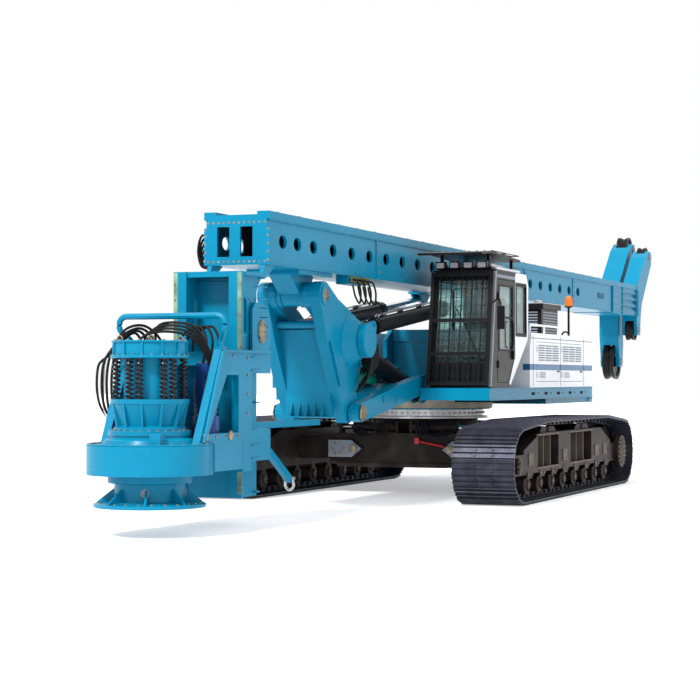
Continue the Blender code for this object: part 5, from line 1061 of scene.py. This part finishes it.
def springs():
    """Helical springs on their guide rods under the absorber's drum, in place of plain bars."""
    wire, rods = Form(), Form()
    low, high, turns, per_turn = 1.368, 1.742, 8.5, 14
    steps = int(turns * per_turn)
    for pair in range(6):
        for lean in (-9.5, 9.5):
            angle = math.radians(60 * (pair + 0.5) + lean)
            cx, cy = 0.338 * math.cos(angle), ROTARY_Y + 0.338 * math.sin(angle)
            coil = [(cx + 0.034 * math.cos(2 * math.pi * i / per_turn),
                     cy + 0.034 * math.sin(2 * math.pi * i / per_turn),
                     low + (high - low) * i / steps) for i in range(steps + 1)]
            wire.tube(coil, 0.0095, 6)
            rods.rod((cx, cy, 1.361), (cx, cy, 1.75), 0.014, 8)
            rods.lathe((cx, cy, 1.3605), Z, [(0.045, 0), (0.045, 0.008), (0.02, 0.012)], 16)
            rods.lathe((cx, cy, 1.7645), NZ, [(0.045, 0), (0.045, 0.012), (0.02, 0.016)], 16)
    piece("absorber_coils", "drive_sleeve", wire, "spring_steel",
          replaced=("absorber_springs",))
    piece("absorber_guide_rods", "drive_sleeve", rods, "spring_steel")
    cover = Form().ring((0, ROTARY_Y, 0), Z, 0.262, 0.247, 1.361, 1.764, 36)
    piece("absorber_core", "drive_sleeve", cover, "blue_paint")


def sleeve_fittings():
    """Ribs, bolts, ports and eye bolts on the turning sleeve and the absorber."""
    blue, steel, dark = Form(), Form(), Form()
    centre = (0, ROTARY_Y, 0)
    for a, b in circle((0, 0), 1.0, 12, 15):
        foot = Vector((a, b, 0))
        side = Vector((-b, a, 0)) * 0.010
        points = [Vector(centre) + c + s + Vector((0, 0, z)) for z in (1.796, 1.918)
                  for c in (foot * 0.36, foot * 0.383) for s in (side, -side)]
        blue.take(points, PAIRED_BOX)
        inner0, outer0, inner1, outer1 = foot * 0.30, foot * 0.345, foot * 0.36, foot * 0.392
        points = [Vector(centre) + c + s + Vector((0, 0, z)) for c, z in
                  ((inner0, 1.10), (outer0, 1.085), (inner1, 1.33), (outer1, 1.335)) for s in (side, -side)]
        blue.take(points, PAIRED_BOX)
    steel.bolts_round((0, ROTARY_Y, 1.94), Z, 0.352, 18, 0.012, 0.012)
    steel.bolts_round((0, ROTARY_Y, 1.7952), Z, 0.378, 24, 0.008, 0.008)
    steel.bolts_round((0, ROTARY_Y, 0.325), Z, 0.50, 24, 0.015, 0.014)
    blue.ring(centre, Z, 0.392, 0.375, 1.318, 1.344, 40)
    for a, b in circle((0, ROTARY_Y), 0.30, 4, 30):
        steel.tube(smooth_path([(a - 0.025, b, 1.94), (a - 0.028, b, 1.965), (a, b, 1.99),
                                (a + 0.028, b, 1.965),
                                (a + 0.025, b, 1.94)], 4), 0.007)
    for start in (-70, 20, 110, 200):
        angle = math.radians(start)
        spot = Vector((0.352 * math.cos(angle), ROTARY_Y + 0.352 * math.sin(angle), 0.44))
        dark.lathe(spot, (math.cos(angle), math.sin(angle), 0),
                   [(0.045, -0.01), (0.045, 0.006), (0.035, 0.008)], 20)
    piece("sleeve_ribs", "drive_sleeve", blue, "blue_paint")
    piece("sleeve_bolts", "drive_sleeve", steel, "bolt_steel")
    piece("sleeve_ports", "drive_sleeve", dark, "grey_paint")


def gearbox_fittings():
    """Flanges, bolts, ribs, plugs and pads on the gearbox and the carriage."""
    blue, steel, dark = Form(), Form(), Form()
    centre = (0, ROTARY_Y, 0)
    blue.ring(centre, Z, 0.6299, 0.60, 0.909, 0.922, 56)
    blue.ring(centre, Z, 0.6299, 0.60, 0.612, 0.631, 56)
    for degrees in range(-90, 270, 12):
        angle = math.radians(degrees)
        spot = (0.632 * math.cos(angle), ROTARY_Y + 0.632 * math.sin(angle))
        if spot[1] < ROTARY_Y + 0.1:
            steel.bolt((0.60 * math.cos(angle), ROTARY_Y + 0.60 * math.sin(angle), 0.911), Z, 0.014, 0.014)
    steel.bolts_round((0, ROTARY_Y, 1.0505), Z, 0.375, 28, 0.010, 0.010)
    blue.collar(centre, Z, [(0.401, 0.909), (0.475, 0.909), (0.455, 0.955), (0.425, 0.975), (0.401, 0.98)],
                64)
    blue.box((0.22, 0.34), (ROTARY_Y - 0.44, ROTARY_Y - 0.34), (0.91, 1.03))
    blue.ring(centre, Z, 0.412, 0.401, 1.00, 1.049, 64)
    for side in (-1, 1):
        for y in (-8.20, -7.62):
            dark.lathe((side * 0.549, y, 0.985), (side, 0, 0), [(0.05, 0), (0.05, 0.012), (0.035, 0.022)], 24)
    for side in (-1, 1):
        x = side * 0.55
        for y, z in ((-8.18, 0.98), (-7.95, 0.98), (-7.7, 0.98), (-7.45, 0.98), (-7.2, 1.2), (-7.2, 1.4),
                     (-7.2, 1.6),
                     (-7.2, 1.78), (-7.55, 1.80), (-7.8, 1.80)):
            steel.bolt((x, y, z), (side, 0, 0), 0.012, 0.010)
        blue.prism("x", [(-8.28, 0.93), (-8.24, 0.93), (-7.80, 1.84), (-7.84, 1.84)],
                   *sorted((x, x + side * 0.03)))
        blue.box(tuple(sorted((x, x + side * 0.03))), (-7.82, -6.64), (1.83, 1.855))
        for z in (0.72, 1.64):
            blue.box(tuple(sorted((x - side * 0.01, x + side * 0.014))), (-7.10, -6.90), (z, z + 0.02))
            blue.box(tuple(sorted((x - side * 0.01, x + side * 0.014))), (-7.10, -6.90), (z + 0.14, z + 0.16))
    piece("gearbox_ribs", "rotary_drive", blue, "blue_paint", bevel=0.002)
    piece("gearbox_bolts", "rotary_drive", steel, "bolt_steel")
    piece("carriage_pins", "rotary_drive", dark, "bolt_steel")
    fins, caps = Form(), Form()
    for side in (-1, 1):
        for i in range(7):
            fins.ring((side * 0.31, -7.70, 1.22 + 0.045 * i), Z, 0.134, 0.118, 0, 0.012, 24)
        caps.bolts_round((side * 0.31, -7.70, 0.95), Z, 0.128, 8, 0.010, 0.0)
        caps.bolts_round((side * 0.31, -7.70, 1.7205), Z, 0.075, 6, 0.010, 0.010)
    piece("motor_fins", "rotary_drive", fins, "deep_blue_paint")
    piece("motor_bolts", "rotary_drive", caps, "bolt_steel")


def round_shells():
    """Finely turned bodies for the gearbox, the sleeve and the drum, to the same sizes as their nodes."""
    shell = Form().collar((0, ROTARY_Y, 0), Z, [
        (0.251, 0.53), (0.412, 0.53), (0.42, 0.538), (0.42, 0.622), (0.622, 0.622), (0.63, 0.632),
                                                (0.63, 0.902),
        (0.622, 0.91), (0.40, 0.91), (0.40, 1.044), (0.394, 1.05), (0.251, 1.05)], 112)
    shell.prism("z", [(-0.55, -7.99), (-0.35, -7.90), (0.35, -7.90), (0.55, -7.99), (0.55, -7.32),
                      (-0.55, -7.32)],
                0.63, 0.91)
    piece("gearbox_shell", "rotary_drive", shell, "blue_paint", replaced=("rotary_gearbox",))
    sleeve = Form().collar((0, ROTARY_Y, 0), Z, [
        (0.19, 0.29), (0.553, 0.29), (0.56, 0.297), (0.56, 0.319), (0.553, 0.326), (0.353, 0.35),
                                                 (0.353, 0.524),
        (0.245, 0.524), (0.245, 1.0505), (0.36, 1.0505), (0.36, 1.08), (0.30, 1.10), (0.365, 1.28),
                                                 (0.395, 1.34),
        (0.395, 1.36), (0.245, 1.36), (0.245, 1.92), (0.19, 1.92)], 96)
    for i in range(8):
        angle = 2 * math.pi * (i + 0.5) / 8
        way = Vector((-math.sin(angle), math.cos(angle), 0))
        side = Vector((-way.y, way.x, 0)) * 0.012
        corners = [(0.34, 0.31), (0.53, 0.31), (0.53, 0.34), (0.34, 0.49)]
        points = [Vector((0, ROTARY_Y, z)) + way * r + s for s in (side, -side) for r, z in corners]
        sleeve.take(points, OUTLINED_BOX)
    piece("sleeve_shell", "drive_sleeve", sleeve, "blue_paint", replaced=("drive_sleeve",))
    drum = Form().collar((0, ROTARY_Y, 0), Z, [
        (0.2453, 1.765), (0.389, 1.765), (0.395, 1.771), (0.395, 1.789), (0.389, 1.795), (0.365, 1.795),
                                               (0.365, 1.92),
        (0.379, 1.92), (0.385, 1.926), (0.385, 1.934), (0.379, 1.94), (0.2453, 1.94)], 96)
    piece("drum_shell", "drive_sleeve", drum, "blue_paint", replaced=("absorber_drum",))


def rotary_hoses():
    """Hydraulic hoses from the motors over the hoop and down the right side, with their manifold."""
    hoses, ends, pipes = Form(), Form(), Form()
    for i in range(4):
        shift = 0.075 * i
        route = [(-0.16 - shift, -7.62, 1.74), (-0.24 - shift, -7.66, 1.98),
                 (-0.36 - 0.6 * shift, -7.82, 2.11 - 0.4 * shift),
                 (-0.50 - 0.7 * shift, -8.00, 2.02 - shift), (-0.56 - 0.75 * shift, -8.08, 1.66),
                 (-0.55 - 0.6 * shift, -8.10, 1.28), (-0.58 + 0.02 * i, -8.00 + 0.05 * i, 0.96)]
        hoses.tube(smooth_path(route, 8), 0.014)
        ends.lathe((-0.58 + 0.02 * i, -8.00 + 0.05 * i, 0.91), Z,
                   [(0.022, 0), (0.022, 0.03), (0.016, 0.03), (0.016, 0.08)], 6)
    for i in range(3):
        shift = 0.07 * i
        route = [(0.24 + shift, -7.62, 1.72), (0.25 + shift, -7.56, 1.95), (0.14 + shift, -7.50, 2.10),
                 (-0.10 + shift, -7.40, 2.02), (-0.16 + shift, -7.34, 1.85)]
        hoses.tube(smooth_path(route, 8), 0.014)
    for i in range(4):
        shift = 0.06 * i
        route = [(-0.42 + shift, -7.66, 1.73), (-0.36 + shift, -7.86, 1.96 + 0.03 * i),
                 (-0.05 + 0.5 * shift, -7.98, 2.04 + 0.03 * i),
                 (0.26 + 0.3 * shift, -7.92, 1.98 + 0.03 * i), (0.38 + 0.25 * shift, -7.78, 1.74),
                 (0.40 + 0.1 * shift, -7.74, 1.50)]
        hoses.tube(smooth_path(route, 8), 0.014)
    piece("rotary_hoses", "rotary_drive", hoses, "rubber")
    piece("rotary_hose_ends", "rotary_drive", ends, "brass_fitting")
    pipes.box((-0.84, -0.62), (-7.62, -7.52), (1.28, 1.34))
    pipes.box((-0.62, -0.55), (-7.60, -7.54), (1.24, 1.38))
    for i in range(3):
        pipes.lathe((-0.80 + 0.07 * i, -7.57, 1.34), Z,
                    [(0.02, 0), (0.02, 0.03), (0.012, 0.03), (0.012, 0.05)], 8)
    piece("drive_manifold", "rotary_drive", pipes, "pale_blue", bevel=0.003)
    white = Form().tube(smooth_path([(-0.58, -8.05, 1.10), (-0.66, -8.08, 1.30), (-0.66, -8.05, 1.75),
                                     (-0.60, -7.95, 1.90)]), 0.012)
    piece("drive_white_pipe", "rotary_drive", white, "white_plastic")


# ---------------------------------------------------------------- studio
def studio():
    """A pale floor, soft light and the camera."""
    mesh = bpy.data.meshes.new("studio_floor")
    reach = 140.0
    mesh.from_pydata([(-reach, -reach, 0), (reach, -reach, 0), (reach, reach, 0), (-reach, reach, 0)], [],
                     [(0, 1, 2, 3)])
    floor = bpy.data.objects.new("studio_floor", mesh)
    bpy.context.scene.collection.objects.link(floor)
    paint = finish("floor_paint", (0.62, 0.625, 0.63), 0.8, mottle=0.01, grain=0.0)
    shader = paint.node_tree.nodes["Principled BSDF"]
    shader.inputs["Emission Color"].default_value = (1.0, 1.0, 1.0, 1.0)
    shader.inputs["Emission Strength"].default_value = 0.42
    mesh.materials.append(paint)
    world = bpy.data.worlds.new("studio")
    world.use_nodes = True
    world.node_tree.nodes["Background"].inputs["Color"].default_value = (1.0, 1.0, 1.0, 1.0)
    world.node_tree.nodes["Background"].inputs["Strength"].default_value = 1.0
    bpy.context.scene.world = world
    bpy.context.scene.view_settings.view_transform = "Standard"
    for name, azimuth, height, strength, angle, colour in (
            ("key", 192.0, 46.0, 4.0, 9.0, (1.0, 0.99, 0.96)),
            ("fill", 105.0, 50.0, 0.45, 40.0, (0.95, 0.97, 1.0))):
        lamp = bpy.data.lights.new(name, "SUN")
        lamp.energy = strength
        lamp.angle = math.radians(angle)
        lamp.color = colour
        holder = bpy.data.objects.new(name, lamp)
        turn, rise = math.radians(azimuth), math.radians(height)
        towards = Vector((math.sin(turn) * math.cos(rise), math.cos(turn) * math.cos(rise), math.sin(rise)))
        holder.rotation_euler = towards.to_track_quat("Z", "Y").to_euler()
        bpy.context.scene.collection.objects.link(holder)
    camera = bpy.data.cameras.new("camera")
    camera.lens = 95.90
    camera.sensor_width = 36.0
    camera.clip_end = 400.0
    holder = bpy.data.objects.new("camera", camera)
    holder.location = (8.70, -26.847, 1.562)
    holder.rotation_euler = (math.radians(90.882), 0.0, math.radians(21.668))
    bpy.context.scene.collection.objects.link(holder)
    bpy.context.scene.camera = holder


def build():
    """Every finish and fitting."""
    dress_nodes()
    for word, side in (("left", 1), ("right", -1)):
        track_chain(word, side)
        running_gear(word, side)
    undercarriage_fittings()
    hood_fittings()
    deck_fittings()
    winch_fittings()
    cab_fittings()
    frame_fittings()
    cylinder_lines("luffing", (-1.00, 1.33), (-3.42, 1.97), 0.215, 0.115, 0.80)
    cylinder_lines("mast", (-3.45, 2.19), (1.00, 2.71), 0.45, 0.10, 0.62)
    mast_fittings()
    head_fittings()
    lower_mast_fittings()
    springs()
    sleeve_fittings()
    round_shells()
    gearbox_fittings()
    rotary_hoses()
    studio()


build()
bpy.context.view_layer.update()
